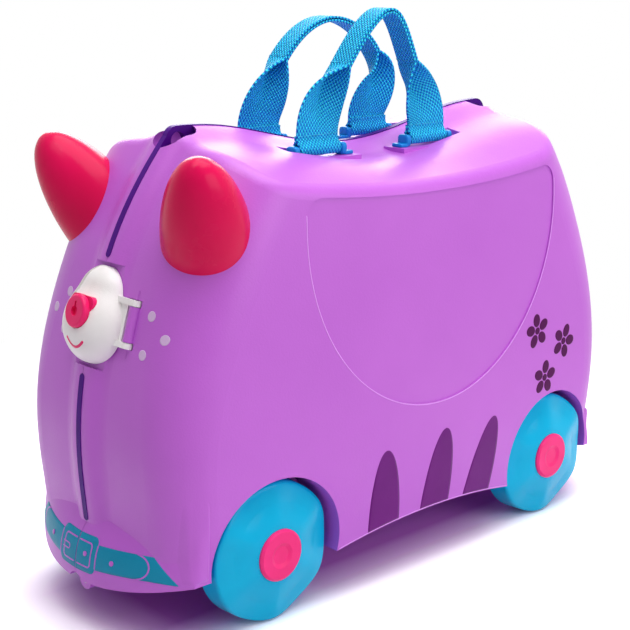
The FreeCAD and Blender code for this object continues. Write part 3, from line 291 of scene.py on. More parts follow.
plasticPlans = {
    "lilacShell": {"tint": tint(196, 100, 214), "deep": tint(190, 94, 209), "rough": 0.38, "shine": 0.5,
                   "mottleScale": 9.0, "grain": 0.35, "grainScale": 900.0},
    "violetTrim": {"tint": tint(82, 14, 138), "deep": tint(70, 9, 120), "rough": 0.38, "shine": 0.08,
                   "mottleScale": 40.0, "grain": 0.2, "grainScale": 1400.0},
    "rubyHorn": {"tint": tint(226, 4, 84), "deep": tint(216, 3, 76), "rough": 0.24, "shine": 0.13,
                 "mottleScale": 14.0, "grain": 0.08, "grainScale": 700.0},
    "cyanWheel": {"tint": tint(0, 188, 230), "deep": tint(0, 177, 221), "rough": 0.18, "shine": 0.13,
                  "mottleScale": 26.0, "grain": 0.12, "grainScale": 800.0},
    "pinkCap": {"tint": tint(254, 50, 134), "deep": tint(247, 42, 124), "rough": 0.34, "shine": 0.2,
                "mottleScale": 50.0, "grain": 0.15, "grainScale": 1200.0},
    "whiteCatch": {"tint": tint(252, 250, 248), "deep": tint(246, 243, 240), "rough": 0.42, "shine": 0.4,
                   "mottleScale": 45.0, "grain": 0.4, "grainScale": 1300.0},
    "pinkKnob": {"tint": tint(246, 34, 114), "deep": tint(236, 28, 104), "rough": 0.36, "shine": 0.25,
                 "mottleScale": 60.0, "grain": 0.2, "grainScale": 1300.0},
    "blueAnchor": {"tint": tint(12, 142, 218), "deep": tint(8, 126, 204), "rough": 0.36, "shine": 0.25,
                   "mottleScale": 60.0, "grain": 0.2, "grainScale": 1300.0},
    "greyNylon": {"tint": tint(92, 92, 98), "deep": tint(78, 78, 84), "rough": 0.45, "shine": 0.4,
                  "mottleScale": 60.0, "grain": 0.25, "grainScale": 1500.0},
}
steelPlan = {
    "tint": (0.62, 0.62, 0.63, 1.0), "deep": (0.42, 0.42, 0.43, 1.0), "rough": 0.28, "swing": 0.15,
    "stretch": (4.0, 60.0, 60.0), "scale": 18.0, "detail": 4.0, "range": (0.3, 0.7),
}
finishes = {name: mouldedPlastic(name, plan) for name, plan in plasticPlans.items()}
finishes["brushedSteel"] = steel("brushedSteel", steelPlan)

# which finish a solid takes, by a word in its name; the first match counts
finishWords = [
    ("shell", "lilacShell"), ("trim", "violetTrim"), ("tow_eye", "violetTrim"), ("screw", "brushedSteel"),
    ("horn", "rubyHorn"), ("hub_cap", "pinkCap"), ("axle", "brushedSteel"), ("wheel", "cyanWheel"),
    ("pin", "brushedSteel"), ("cover", "whiteCatch"), ("knob", "pinkKnob"), ("cam", "greyNylon"),
    ("keeper", "greyNylon"), ("anchor", "blueAnchor"), ("strap", "blueAnchor"), ("nose", "pinkKnob"),
]
for nodeName, node in nodes.items():
    finish = next(name for word, name in finishWords if word in nodeName)
    node.data.materials.clear()
    node.data.materials.append(finishes[finish])
print("finishes on the solids:", len(finishes))


# quads of a rows by cols grid; closing a direction joins its last line to its first
def gridFaces(rows, cols, closeRows=False, closeCols=False):
    first = np.arange(rows if closeRows else rows - 1)
    second = np.arange(cols if closeCols else cols - 1)
    a, b = np.meshgrid(first, second, indexing="ij")
    c, d = (a + 1) % rows, (b + 1) % cols
    return np.stack([a * cols + b, c * cols + b, c * cols + d, a * cols + d], -1).reshape(-1, 4)


def meshPiece(name, points, faces, paint, uv=None, caps=()):
    mesh = bpy.data.meshes.new(name)
    polygons = np.asarray(faces).tolist() + [cap.tolist() for cap in caps]
    mesh.from_pydata(np.asarray(points, float).tolist(), [], polygons)
    if uv is not None:
        layer = mesh.uv_layers.new(name="cloth")
        corner = np.zeros(len(mesh.loops), np.int32)
        mesh.loops.foreach_get("vertex_index", corner)
        layer.data.foreach_set("uv", np.asarray(uv, np.float32)[corner].ravel())
    mesh.polygons.foreach_set("use_smooth", np.ones(len(mesh.polygons), bool))
    mesh.materials.append(paint)
    made = bpy.data.objects.new(name, mesh)
    scene.collection.objects.link(made)
    return made


# length along a line of points, from its first one
def lengthAlong(line):
    return np.concatenate([[0], np.cumsum(np.linalg.norm(np.diff(line, axis=0), axis=1))])


# points of a unit circle
def circle(count):
    turn = np.linspace(0, 2 * np.pi, count, endpoint=False)
    return np.stack([np.cos(turn), np.sin(turn)], 1)


# prints: flat grids of (across, up) millimetres, dropped onto a solid along one axis. Lift, thickness and
# start are in metres; a ribbon narrows to the tip's share of its width, a blob's rings to the core's
printPlan = {"lift": 0.00016, "thick": 0.00030, "start": 0.30, "tip": 0.04, "core": 0.15}


# a ribbon of even width along a flat line, with round ends: the last half width narrows as a circle does
def ribbon(line, width, across=5):
    line = np.asarray(line, float)
    ahead = np.gradient(line, axis=0)
    ahead /= np.linalg.norm(ahead, axis=1, keepdims=True)
    side = np.stack([-ahead[:, 1], ahead[:, 0]], 1)
    run = lengthAlong(line)
    near = np.minimum(run, run[-1] - run).clip(0, width / 2)
    half = np.sqrt((width / 2) ** 2 - (width / 2 - near) ** 2).clip(width * printPlan["tip"])
    spread = half[:, None] * np.linspace(-1, 1, across)
    flat = line[:, None] + side[:, None] * spread[..., None]
    return flat.reshape(-1, 2), gridFaces(len(line), across), []


# a filled outline: rings shrink from the edge towards the middle, and one small face closes the last ring
def blob(edge, rings=6):
    edge = np.asarray(edge, float)
    middle = edge.mean(0)
    share = np.linspace(1, printPlan["core"], rings)
    flat = middle + (edge - middle)[None] * share[:, None, None]
    last = (rings - 1) * len(edge) + np.arange(len(edge))
    return flat.reshape(-1, 2), gridFaces(rings, len(edge), closeCols=True), [last[::-1]]


# several grids, each with its points, quads and end faces, as one
def joinParts(parts):
    starts = np.cumsum([0] + [len(points) for points, quads, caps in parts])
    joined = np.vstack([points for points, quads, caps in parts])
    faces = np.vstack([quads + start for (points, quads, caps), start in zip(parts, starts)])
    closing = [cap + start for (points, quads, caps), start in zip(parts, starts) for cap in caps]
    return joined, faces, closing


# drop a flat drawing onto a solid along X or Y; gives the piece and the points where it landed
def dropOn(name, drawing, target, paint, axis, way, lift):
    flat, faces, caps = drawing
    across, up = flat.T / perMetre
    far = np.full(len(flat), way * printPlan["start"])
    points = np.stack((far, across, up) if axis == "x" else (across, far, up), 1)
    made = meshPiece(name, points, faces, paint, caps=caps)
    wrap = made.modifiers.new("drop", "SHRINKWRAP")
    wrap.target = nodes[target]
    wrap.wrap_method = "PROJECT"
    wrap.use_project_x, wrap.use_project_y = axis == "x", axis == "y"
    wrap.use_project_z = False
    wrap.use_positive_direction, wrap.use_negative_direction = way < 0, way > 0
    wrap.wrap_mode = "ABOVE_SURFACE"
    wrap.offset = printPlan["lift"] * lift
    bpy.context.view_layer.update()
    seen = made.evaluated_get(bpy.context.evaluated_depsgraph_get())
    landed = np.zeros(points.size)
    seen.data.vertices.foreach_get("co", landed)
    made.modifiers.clear()
    return made, landed


# set a dropped piece's points, and turn its faces outward
def settle(made, landed, axis, way):
    made.data.vertices.foreach_set("co", landed)
    made.data.update()
    normals = np.zeros(len(made.data.polygons) * 3)
    made.data.polygons.foreach_get("normal", normals)
    if normals.reshape(-1, 3)[:, 0 if axis == "x" else 1].mean() * way < 0:
        made.data.flip_normals()


# a print: the drawing dropped onto the solid, then given the film's thickness
def printOn(name, drawing, target, body, paint, axis, way, lift=1.0):
    made, landed = dropOn(name, drawing, target, paint, axis, way, lift)
    settle(made, landed, axis, way)
    film = made.modifiers.new("film", "SOLIDIFY")
    film.thickness = printPlan["thick"]
    film.offset = -1.0
    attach(made, body)


inkPlans = {
    "plumStripe": {"tint": tint(114, 32, 126), "deep": tint(107, 27, 119), "rough": 0.40, "shine": 0.10,
                   "mottleScale": 30.0, "grain": 0.3, "grainScale": 900.0},
    "plumBlossom": {"tint": tint(84, 8, 80), "deep": tint(77, 5, 73), "rough": 0.40, "shine": 0.08,
                    "mottleScale": 30.0, "grain": 0.3, "grainScale": 900.0},
    "paleDot": {"tint": tint(222, 190, 230), "deep": tint(215, 182, 224), "rough": 0.42, "shine": 0.4,
                "mottleScale": 60.0, "grain": 0.3, "grainScale": 900.0},
    "tealCollar": {"tint": tint(22, 148, 182), "deep": tint(17, 138, 172), "rough": 0.40, "shine": 0.15,
                   "mottleScale": 30.0, "grain": 0.3, "grainScale": 900.0},
    # pale lilac for painted highlights, thin lines where edges would catch light
    "paintedEdgeHighlight": {"tint": tint(226, 150, 242), "deep": tint(219, 142, 236), "rough": 0.34, "shine": 0.5,
                 "mottleScale": 30.0, "grain": 0.2, "grainScale": 900.0},
    "pinkInk": {"tint": tint(242, 40, 116), "deep": tint(234, 33, 107), "rough": 0.36, "shine": 0.25,
                "mottleScale": 60.0, "grain": 0.2, "grainScale": 900.0},
}
finishes.update({name: mouldedPlastic(name, plan) for name, plan in inkPlans.items()})

# arched lower edge of the side, a stretch of a circle
archPlan = {"middle": -4.0, "top": 43.0, "radius": 465.8}


def archHeight(plan, across):
    return plan["top"] - plan["radius"] + np.sqrt(plan["radius"] ** 2 - (across - plan["middle"]) ** 2)


# side stripes: half an ellipse standing on the arch; half width is the foot's times the root of 1 minus
# the height share squared
stripePlan = {
    "tips": [(40.4, 95.5), (-17.1, 98.4), (-68.8, 95.6)], "feet": [41.0, -8.6, -53.2],
    "half": 14.4, "clear": 0.7, "blunt": 0.02, "rows": 44, "cols": 15,
}


def stripeDrawing(plan, index):
    (tipAcross, tipUp), foot = plan["tips"][index], plan["feet"][index]
    turn = np.linspace(np.pi / 2 - plan["blunt"], 0, plan["rows"])
    share, half = np.sin(turn), plan["half"] * np.cos(turn)
    centre = foot + (tipAcross - foot) * share
    across = centre[:, None] + half[:, None] * np.linspace(-1, 1, plan["cols"])
    lowest = archHeight(archPlan, across) + plan["clear"]
    up = lowest + (tipUp - lowest) * share[:, None]
    return np.stack([across, up], -1).reshape(-1, 2), gridFaces(plan["rows"], plan["cols"]), []


# blossoms: five round petals set evenly round a small middle
blossomPlan = {
    "spots": [((-116.0, 150.0), 8.0), ((-150.0, 136.0), 40.0), ((-128.0, 112.0), 22.0)],
    "petals": 5, "reach": 8.2, "petal": (5.0, 3.9), "middle": 2.7, "points": 40,
}


def blossomDrawing(plan, index):
    centre, lean = plan["spots"][index]
    ring = circle(plan["points"])
    edges = [plan["middle"] * ring]
    for number in range(plan["petals"]):
        angle = math.radians(lean) + number * 2 * np.pi / plan["petals"]
        spin = np.array([[math.cos(angle), -math.sin(angle)], [math.sin(angle), math.cos(angle)]])
        edges.append((ring * plan["petal"] + (plan["reach"], 0)) @ spin.T)
    return joinParts([blob(edge + centre) for edge in edges])


# dots: three round spots each side of the catch, closer in where the catch has no hinge
dotPlan = {
    "spots": [(49.0, 206.0), (62.0, 194.0), (48.0, 183.0)], "radius": 3.1, "inward": 11.0, "points": 32,
}


def dotDrawing(plan, side):
    ring = circle(plan["points"]) * plan["radius"]
    spots = np.array(plan["spots"])
    if side < 0:
        spots[:, 0] = plan["inward"] - spots[:, 0]
    return joinParts([blob(ring + spot) for spot in spots])


for sideName, side in sides:
    shell, body = sideName + "_shell", sideName + "_half"
    for index in range(len(stripePlan["tips"])):
        printOn("%sStripe%d" % (sideName, index + 1), stripeDrawing(stripePlan, index), shell, body,
                finishes["plumStripe"], "y", side)
    for index in range(len(blossomPlan["spots"])):
        printOn("%sBlossom%d" % (sideName, index + 1), blossomDrawing(blossomPlan, index), shell, body,
                finishes["plumBlossom"], "y", side)
    printOn(sideName + "Dots", dotDrawing(dotPlan, side), shell, body, finishes["paleDot"], "x", 1)

# painted edge highlights: a hair-thin pale line round the side panel's bowl, half an ellipse between two
# upright runs, and one along the arched lower edge of the side
highlightLinePlan = {
    "middle": -10.5, "half": 120.55, "level": 250.0, "drop": 130.55, "upper": 262.0, "width": 0.8,
    "lift": 0.6, "bowlPoints": 160, "risePoints": 12, "arch": (-98.0, 90.0), "archRise": 0.75,
    "archWidth": 0.7, "archLift": 1.5, "archPoints": 90, "across": 3,
}


def panelHighlightLine(plan):
    turn = np.linspace(np.pi, 2 * np.pi, plan["bowlPoints"])
    bowl = np.stack([plan["middle"] + plan["half"] * np.cos(turn),
                     plan["level"] + plan["drop"] * np.sin(turn)], 1)
    rise = np.linspace(plan["upper"], plan["level"], plan["risePoints"])[:-1]
    behind = np.stack([np.full(len(rise), plan["middle"] - plan["half"]), rise], 1)
    ahead = np.stack([np.full(len(rise), plan["middle"] + plan["half"]), rise[::-1]], 1)
    return ribbon(np.vstack([behind, bowl, ahead]), plan["width"], plan["across"])


def archHighlightLine(plan):
    across = np.linspace(*plan["arch"], plan["archPoints"])
    up = archHeight(archPlan, across) + plan["archRise"]
    return ribbon(np.stack([across, up], 1), plan["archWidth"], plan["across"])


for sideName, side in sides:
    shell, body = sideName + "_shell", sideName + "_half"
    printOn(sideName + "PanelHighlight", panelHighlightLine(highlightLinePlan), shell, body, finishes["paintedEdgeHighlight"], "y", side,
            highlightLinePlan["lift"])
    printOn(sideName + "ArchHighlight", archHighlightLine(highlightLinePlan), shell, body, finishes["paintedEdgeHighlight"], "y", side,
            highlightLinePlan["archLift"])

# collar print round the chin: a band with a buckle plate over the parting line and a slanted point
# at each end
collarPlan = {
    "gap": 0.35, "end": 76.0, "slant": 60.0, "tip": 0.5, "rows": 150, "cols": 9,
    "low": [(0, 40.0), (20, 40.6), (45, 42.4), (60, 42.8), (76, 42.4)],
    "high": [(0, 56.0), (20, 56.4), (45, 57.6), (76, 58.4)],
    "buckle": (19.0, 11.6), "corner": 4.0, "inner": (14.6, 7.6), "innerCorner": 2.4, "inset": 0.5,
    "cornerPoints": 8, "sidePoints": 10, "line": 0.9, "lineLift": 1.9, "edgePoints": 20,
    "holes": {1: [9.4, 33.0], -1: [33.0]}, "holeRadius": 1.6, "holePoints": 28, "holeRings": 3,
    "loop": 49.0, "loopReach": 9.5, "loopPoints": 40,
    "pin": (16.6, 9.6, 1.7), "pinSide": -1, "pinShare": 0.8, "pinArc": 12, "pinRun": 8,
}


def collarEdges(plan, across):
    reach = np.abs(across)
    low = np.interp(reach, *np.transpose(plan["low"]))
    high = np.interp(reach, *np.transpose(plan["high"]))
    wide, tall = plan["buckle"]
    inward = (reach - wide + plan["corner"]).clip(0, plan["corner"])
    plate = tall - plan["corner"] + np.sqrt(plan["corner"] ** 2 - inward ** 2)
    middle = (low + high) / 2
    low = np.where(reach <= wide, np.minimum(low, middle - plate), low)
    high = np.where(reach <= wide, np.maximum(high, middle + plate), high)
    slant = ((reach - plan["slant"]) / (plan["end"] - plan["slant"])).clip(0, 1)
    return low, high + (low + plan["tip"] - high) * slant


def collarDrawing(plan, side):
    across = side * np.linspace(plan["gap"], plan["end"], plan["rows"])
    low, high = collarEdges(plan, across)
    up = low[:, None] + (high - low)[:, None] * np.linspace(0, 1, plan["cols"])
    flat = np.stack([np.repeat(across[:, None], plan["cols"], 1), up], -1)
    return flat.reshape(-1, 2), gridFaces(plan["rows"], plan["cols"]), []


# half of the buckle's rounded inner frame, open at the parting line
def framePath(plan, side):
    (wide, tall), corner = plan["inner"], plan["innerCorner"]
    turn = np.linspace(0, np.pi / 2, plan["cornerPoints"])
    upper = np.stack([wide - corner + corner * np.sin(turn), tall - corner + corner * np.cos(turn)], 1)
    lower = np.stack([upper[::-1, 0], -upper[::-1, 1]], 1)
    run = np.linspace(plan["gap"] + plan["inset"], wide - corner, plan["cornerPoints"])[:-1]
    top = np.stack([run, np.full(len(run), tall)], 1)
    drop = np.linspace(tall - corner, -(tall - corner), plan["sidePoints"])[1:-1]
    edge = np.stack([np.full(len(drop), wide), drop], 1)
    path = np.vstack([top, upper, edge, lower, top[::-1] * (1, -1)])
    return path * (side, 1)


# the buckle's pin: a narrow hairpin whose round end points to the parting line
def pinPath(plan, side):
    start, stop, half = plan["pin"]
    arc = np.linspace(np.pi / 2, -np.pi / 2, plan["pinArc"])
    tip = np.stack([stop - half * np.cos(arc), half * np.sin(arc)], 1)
    run = np.linspace(start, stop, plan["pinRun"])
    upper = np.stack([run, np.full(len(run), half)], 1)
    path = np.vstack([upper[:-1], tip, upper[-2::-1] * (1, -1)])
    return path * (side, 1)


# fine lines of the collar: the buckle's inner frame, the plate's edge on the band, holes,
# the strap's round end and the pin
def collarLines(plan, side):
    width = plan["line"]
    wide = plan["buckle"][0] + width / 2
    low, high = collarEdges(plan, np.array([0.0, wide, plan["loop"]]))
    middle = (low + high) / 2
    parts = [ribbon(framePath(plan, side) + (0, middle[0]), width)]
    edge = np.linspace(low[1], high[1], plan["edgePoints"])
    parts.append(ribbon(np.stack([np.full(len(edge), side * wide), edge], 1), width))
    hole = circle(plan["holePoints"]) * plan["holeRadius"]
    parts += [blob(hole + (side * spot, middle[1]), plan["holeRings"]) for spot in plan["holes"][side]]
    bend = np.linspace(-1, 1, plan["loopPoints"])
    bulge = plan["loop"] + plan["loopReach"] * np.sqrt((1 - bend ** 2).clip(0))
    parts.append(ribbon(np.stack([side * bulge, middle[2] + (high - low)[2] / 2 * bend], 1), width))
    if side == plan["pinSide"]:
        parts.append(ribbon(pinPath(plan, side) + (0, middle[0]), width * plan["pinShare"]))
    return joinParts(parts)


for sideName, side in sides:
    shell, body = sideName + "_shell", sideName + "_half"
    printOn(sideName + "Collar", collarDrawing(collarPlan, side), shell, body, finishes["tealCollar"],
            "x", 1)
    printOn(sideName + "CollarLines", collarLines(collarPlan, side), shell, body, finishes["lilacShell"],
            "x", 1, collarPlan["lineLift"])

# chin corners: a skin over the kink between chin and wheel well. Its height is the shell's own, blurred by
# a bell curve and lifted clear of the kink, and it sinks under the shell towards its four borders
cornerPlan = {
    "low": (184.2, 42.6), "high": (201.5, 104.0), "counts": (70, 150), "blur": (2.6, 6.0), "sink": 0.2,
    "borders": ((2.2, 5.0), (4.0, 32.0)), "core": 0.5,
}


# weights of a bell curve between every two spots, each row adding up to one
def bell(spots, width):
    weight = np.exp(-0.5 * ((spots[:, None] - spots[None]) / width) ** 2)
    return weight / weight.sum(1, keepdims=True)


# zero at both ends and one in between, by a smooth step over each border's width
def border(spots, widths):
    near = ((spots - spots[0]) / widths[0]).clip(0, 1) * ((spots[-1] - spots) / widths[1]).clip(0, 1)
    return near * near * (3 - 2 * near)


def chinCorner(name, plan, target, side, paint):
    across, up = [np.linspace(plan["low"][k], plan["high"][k], plan["counts"][k]) for k in (0, 1)]
    grid = np.stack(np.meshgrid(across, up, indexing="ij"), -1).reshape(-1, 2)
    made, landed = dropOn(name, (grid, gridFaces(*plan["counts"]), []), target, paint, "y", side, 0.0)
    points = landed.reshape(*plan["counts"], 3)
    shell = points[..., 1] * side * perMetre
    soft = bell(across, plan["blur"][0]) @ shell @ bell(up, plan["blur"][1]).T
    share = border(across, plan["borders"][0])[:, None] * border(up, plan["borders"][1])[None]
    lifted = soft + (shell - soft)[share > plan["core"]].max()
    points[..., 1] = side * (shell - plan["sink"] + (lifted - shell + plan["sink"]) * share) / perMetre
    settle(made, points.ravel(), "y", side)
    return made


for sideName, side in sides:
    corner = chinCorner(sideName + "ChinCorner", cornerPlan, sideName + "_shell", side,
                        finishes["lilacShell"])
    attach(corner, sideName + "_half")
print("prints laid on the shells")

# smile on the front catch: one plain arc, a parabola
smilePlan = {"half": 9.0, "top": 186.6, "sag": 5.2, "width": 1.7, "points": 48}


def smileDrawing(plan):
    share = np.linspace(-1, 1, plan["points"])
    arc = np.stack([plan["half"] * share, plan["top"] - plan["sag"] * (1 - share ** 2)], 1)
    return ribbon(arc, plan["width"])


printOn("mouthFilm", smileDrawing(smilePlan), "front_catch_cover", "front_catch", finishes["pinkInk"],
        "x", 1)
print("smile on the catch")


# woven webbing: threads over and under as a product of two sines along the cloth's own length and width
def webbing(name, plan):
    paint, tree, shader = blankPaint(name)
    cloth = addNode(tree, "ShaderNodeUVMap", uv_map="cloth")
    parts = tree.nodes.new("ShaderNodeSeparateXYZ")
    tree.links.new(cloth.outputs[0], parts.inputs[0])
    step = 2 * math.pi / plan["pitch"]
    along = math2(tree, "SINE", math2(tree, "MULTIPLY", parts.outputs[0], step))
    across = math2(tree, "SINE", math2(tree, "MULTIPLY", parts.outputs[1], step * plan["ratio"]))
    weave = math2(tree, "MULTIPLY", along, across)
    fuzz = noise(tree, cloth.outputs[0], plan["fuzzScale"])
    height = math2(tree, "ADD", weave, math2(tree, "MULTIPLY", fuzz, plan["fuzz"]))
    # painted shade and highlight: dark where the weave lies low, light on its crowns, with random fuzz
    shadeByWeaveHeight = remap(tree, height, *plan["range"], 0.0, 1.0)
    tree.links.new(blendTint(tree, shadeByWeaveHeight, plan["deep"], plan["tint"]), shader.inputs["Base Color"])
    bump = addNode(tree, "ShaderNodeBump", Strength=plan["bump"], Distance=plan["depth"])
    tree.links.new(height, bump.inputs["Height"])
    tree.links.new(bump.outputs["Normal"], shader.inputs["Normal"])
    shader.inputs["Roughness"].default_value = plan["rough"]
    shader.inputs["Specular IOR Level"].default_value = plan["shine"]
    return paint


# the deep tint is painted shade for the weave's hollows, the light tint painted highlight for its crowns
webbingPlan = {
    "tint": tint(58, 232, 255), "deep": tint(0, 120, 218), "rough": 0.55, "shine": 0.12,
    "pitch": 0.0031, "ratio": 1.15, "fuzz": 0.45, "fuzzScale": 1500.0, "range": (-0.55, 1.0),
    "bump": 0.85, "depth": 0.0007,
}
threadPlan = {
    "tint": tint(70, 200, 230), "deep": tint(36, 164, 210), "rough": 0.5, "shine": 0.3,
    "mottleScale": 300.0, "grain": 0.4, "grainScale": 3000.0,
}
finishes["cyanWebbing"] = webbing("cyanWebbing", webbingPlan)
finishes["cyanThread"] = mouldedPlastic("cyanThread", threadPlan)

# strap anchors, in millimetres: a bar between two knuckles with a tongue each, over the saddle's pocket;
# the powers are those of each block, along the case and round it
anchorPlan = {
    "bar": 291.4, "barRadius": 2.3, "side": 30.0, "ends": {"front": 48.0, "rear": -56.0},
    "inner": 18.5, "post": 5.0, "tongue": 6.0, "half": 5.0, "barTuck": 1.0, "tongueTuck": 2.5,
    "floor": 286.0, "postTop": 294.5, "tongueTop": 288.6, "rows": 30, "cols": 44,
    "barPowers": (0.2, 1.0), "postPowers": (0.45, 0.55), "tonguePowers": (0.4, 0.3),
}


def press(wave, power):
    return np.sign(wave) * np.abs(wave) ** power


# a soft block: a ball whose sines and cosines take a power below one, so that its sides go flat
# between round edges
def softBlock(low, high, powers, plan):
    low, high = np.array(low) / perMetre, np.array(high) / perMetre
    long, cross = powers
    rise = np.linspace(-np.pi / 2, np.pi / 2, plan["rows"] + 2)[1:-1, None]
    turn = np.linspace(0, 2 * np.pi, plan["cols"], endpoint=False)[None]
    girth = press(np.cos(rise), long)
    ball = np.stack(np.broadcast_arrays(press(np.sin(rise), long), girth * press(np.cos(turn), cross),
                                        girth * press(np.sin(turn), cross)), -1)
    points = (low + high) / 2 + ball.reshape(-1, 3) * (high - low) / 2
    ring = np.arange(plan["cols"])
    caps = [ring[::-1], ring + (plan["rows"] - 1) * plan["cols"]]
    return points, gridFaces(plan["rows"], plan["cols"], closeCols=True)[:, ::-1], caps


def anchorDrawing(plan, end, side):
    x, y = plan["ends"][end], side * plan["side"]
    inner, outer = plan["inner"], plan["inner"] + plan["post"]
    half, thick, reach = plan["half"], plan["barRadius"], plan["inner"] + plan["barTuck"]
    low = (x - reach, y - thick, plan["bar"] - thick)
    high = (x + reach, y + thick, plan["bar"] + thick)
    parts = [softBlock(low, high, plan["barPowers"], plan)]
    for way in (1, -1):
        spans = {"post": (inner, outer), "tongue": (outer - plan["tongueTuck"], outer + plan["tongue"])}
        for block, span in spans.items():
            first, last = sorted(x + way * spot for spot in span)
            low = (first, y - half, plan["floor"])
            high = (last, y + half, plan[block + "Top"])
            parts.append(softBlock(low, high, plan[block + "Powers"], plan))
    return joinParts(parts)


for end in ends:
    for sideName, side in sides:
        points, faces, caps = anchorDrawing(anchorPlan, end, side)
        anchor = meshPiece("%s%sAnchor" % (end, sideName.capitalize()), points, faces,
                           finishes["blueAnchor"], caps=caps)
        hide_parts("%s_%s_anchor" % (end, sideName))
        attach(anchor, sideName + "_half")
print("anchors seated")

# wheels, in millimetres from the middle of the case: a turned tread whose shoulder falls away
# in six soft facets
wheelPlan = {
    "radius": 47.0, "inner": 63.3, "outer": 89.8, "shoulder": 9.0, "innerRound": 4.0, "bore": 4.06,
    "socket": 15.0, "socketFloor": 82.6, "backRings": (20.0, 34.0), "edge": 0.25,
    "flat": 18.7, "fall": 6.5, "sides": 6, "softPower": 22, "blend": (0.25, 1.2), "blendFrom": 18.0,
    "blendTo": 34.0, "lobe": 0.026, "wave": 1.2,
    "cols": 180, "roundPoints": 15, "facePoints": 24, "treadPoints": 8,
}


# zero on the ridges between two facets and one in the middle of a facet
def facetShare(plan, turn):
    return (1 + np.cos(plan["sides"] * turn)) / 2


# height of the wheel's face over a radius and a turn: a soft minimum of the rounded shoulder and the
# facets, where a facet drops with the radius times a power sum of the cosines to the six facet directions
def faceHeight(plan, radius, turn):
    past = (radius - plan["radius"] + plan["shoulder"]).clip(0, plan["shoulder"])
    rounded = np.sqrt(plan["shoulder"] ** 2 - past ** 2) - plan["shoulder"]
    middles = 2 * np.pi / plan["sides"] * np.arange(plan["sides"])
    toward = np.cos(turn[..., None] - middles).clip(0)
    reach = radius * (toward ** plan["softPower"]).sum(-1) ** (1 / plan["softPower"])
    facet = (plan["flat"] - reach) * plan["fall"] / (plan["radius"] - plan["flat"])
    share = ((radius - plan["blendFrom"]) / (plan["blendTo"] - plan["blendFrom"])).clip(0, 1)
    width = plan["blend"][0] + (plan["blend"][1] - plan["blend"][0]) * share
    sunk = plan["wave"] * share ** 2 * facetShare(plan, turn)
    return -width * np.logaddexp(-rounded / width, -facet / width) - sunk


# the wheel's section as a closed line of (radius, along the axle), with the face's height set at every turn
def wheelGrid(plan, centre, side):
    edge, bore, socket, cols = plan["edge"], plan["bore"], plan["socket"], plan["cols"]
    quarter = np.linspace(0, np.pi / 2, plan["roundPoints"])
    back = plan["radius"] - plan["innerRound"]
    front = plan["radius"] - plan["shoulder"]
    backFace = np.array([bore, bore + edge, *plan["backRings"], back - edge])
    faceRadius = np.concatenate([front + plan["shoulder"] * np.cos(quarter),
                                 np.linspace(front, socket + edge, plan["facePoints"])[1:], [socket]])
    tread = np.linspace(0, 1, plan["treadPoints"])[1:-1]
    turn = np.linspace(0, 2 * np.pi, cols, endpoint=False)[None]
    face = plan["outer"] + faceHeight(plan, faceRadius[:, None], np.repeat(turn, len(faceRadius), 0))
    roundFoot = plan["inner"] + plan["innerRound"]
    rounded = roundFoot - plan["innerRound"] * np.cos(quarter)
    wall = plan["socketFloor"] + np.array([edge, 0, 0, 0, -edge])
    wallRadius = np.array([socket, socket, socket - edge, bore + edge, bore])
    radius = np.concatenate([backFace, back + plan["innerRound"] * np.sin(quarter),
                             np.full(len(tread), plan["radius"]), faceRadius, wallRadius, [bore]])
    along = np.vstack([
        np.full((len(backFace), cols), plan["inner"]), np.repeat(rounded[:, None], cols, 1),
        roundFoot + tread[:, None] * (face[:1] - roundFoot), face,
        np.repeat(wall[:, None], cols, 1), np.full((1, cols), plan["inner"] + edge)])
    # the facets cut into the tread as well, more so towards the face
    outward = ((along - plan["inner"]) / (plan["outer"] - plan["inner"])).clip(0, 1)
    far = (radius / plan["radius"])[:, None] ** 2
    reach = radius[:, None] * (1 - plan["lobe"] * facetShare(plan, turn) * outward * far) / perMetre
    points = np.stack([centre[0] + reach * np.cos(turn), side * along / perMetre,
                       centre[1] + reach * np.sin(turn)], -1)
    faces = gridFaces(len(radius), cols, closeRows=True, closeCols=True)
    return points.reshape(-1, 3), faces[:, ::-1] if side > 0 else faces


for end in ends:
    for sideName, side in sides:
        solid = "%s_%s_wheel" % (end, sideName)
        corners = np.array(nodes[solid].bound_box)
        centre = (corners.min(0) + corners.max(0))[[0, 2]] / 2
        points, faces = wheelGrid(wheelPlan, centre, side)
        wheel = meshPiece("%s%sWheel" % (end, sideName.capitalize()), points, faces, finishes["cyanWheel"])
        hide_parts(solid)
        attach(wheel, solid)
print("wheels turned")

# carry straps, in metres: the route of the webbing's middle line over its two anchor bars
strapPlan = {
    "bar": anchorPlan["bar"] / perMetre, "side": anchorPlan["side"] / perMetre,
    "ends": [anchorPlan["ends"][end] / perMetre for end in ends],
    "left": [(0.033, 0.337), (-0.014, 0.379), (-0.041, 0.335)],
    "right": [(0.038, 0.334), (-0.019, 0.372), (-0.064, 0.332)],
    "width": 0.036, "thick": 0.0015, "loop": 0.0035, "layer": 0.0016, "tail": 0.0092, "level": 0.0012,
    "hemShare": 0.62, "bendShare": 0.72, "tuckShare": 0.25,
    "foldStart": 0.001, "foldEnd": 0.049, "foldRound": 0.0012, "foldPower": 1.5, "edgePower": 1.6,
    "rows": 300, "loopRows": 90, "cols": 41, "fineSteps": 1200,
}


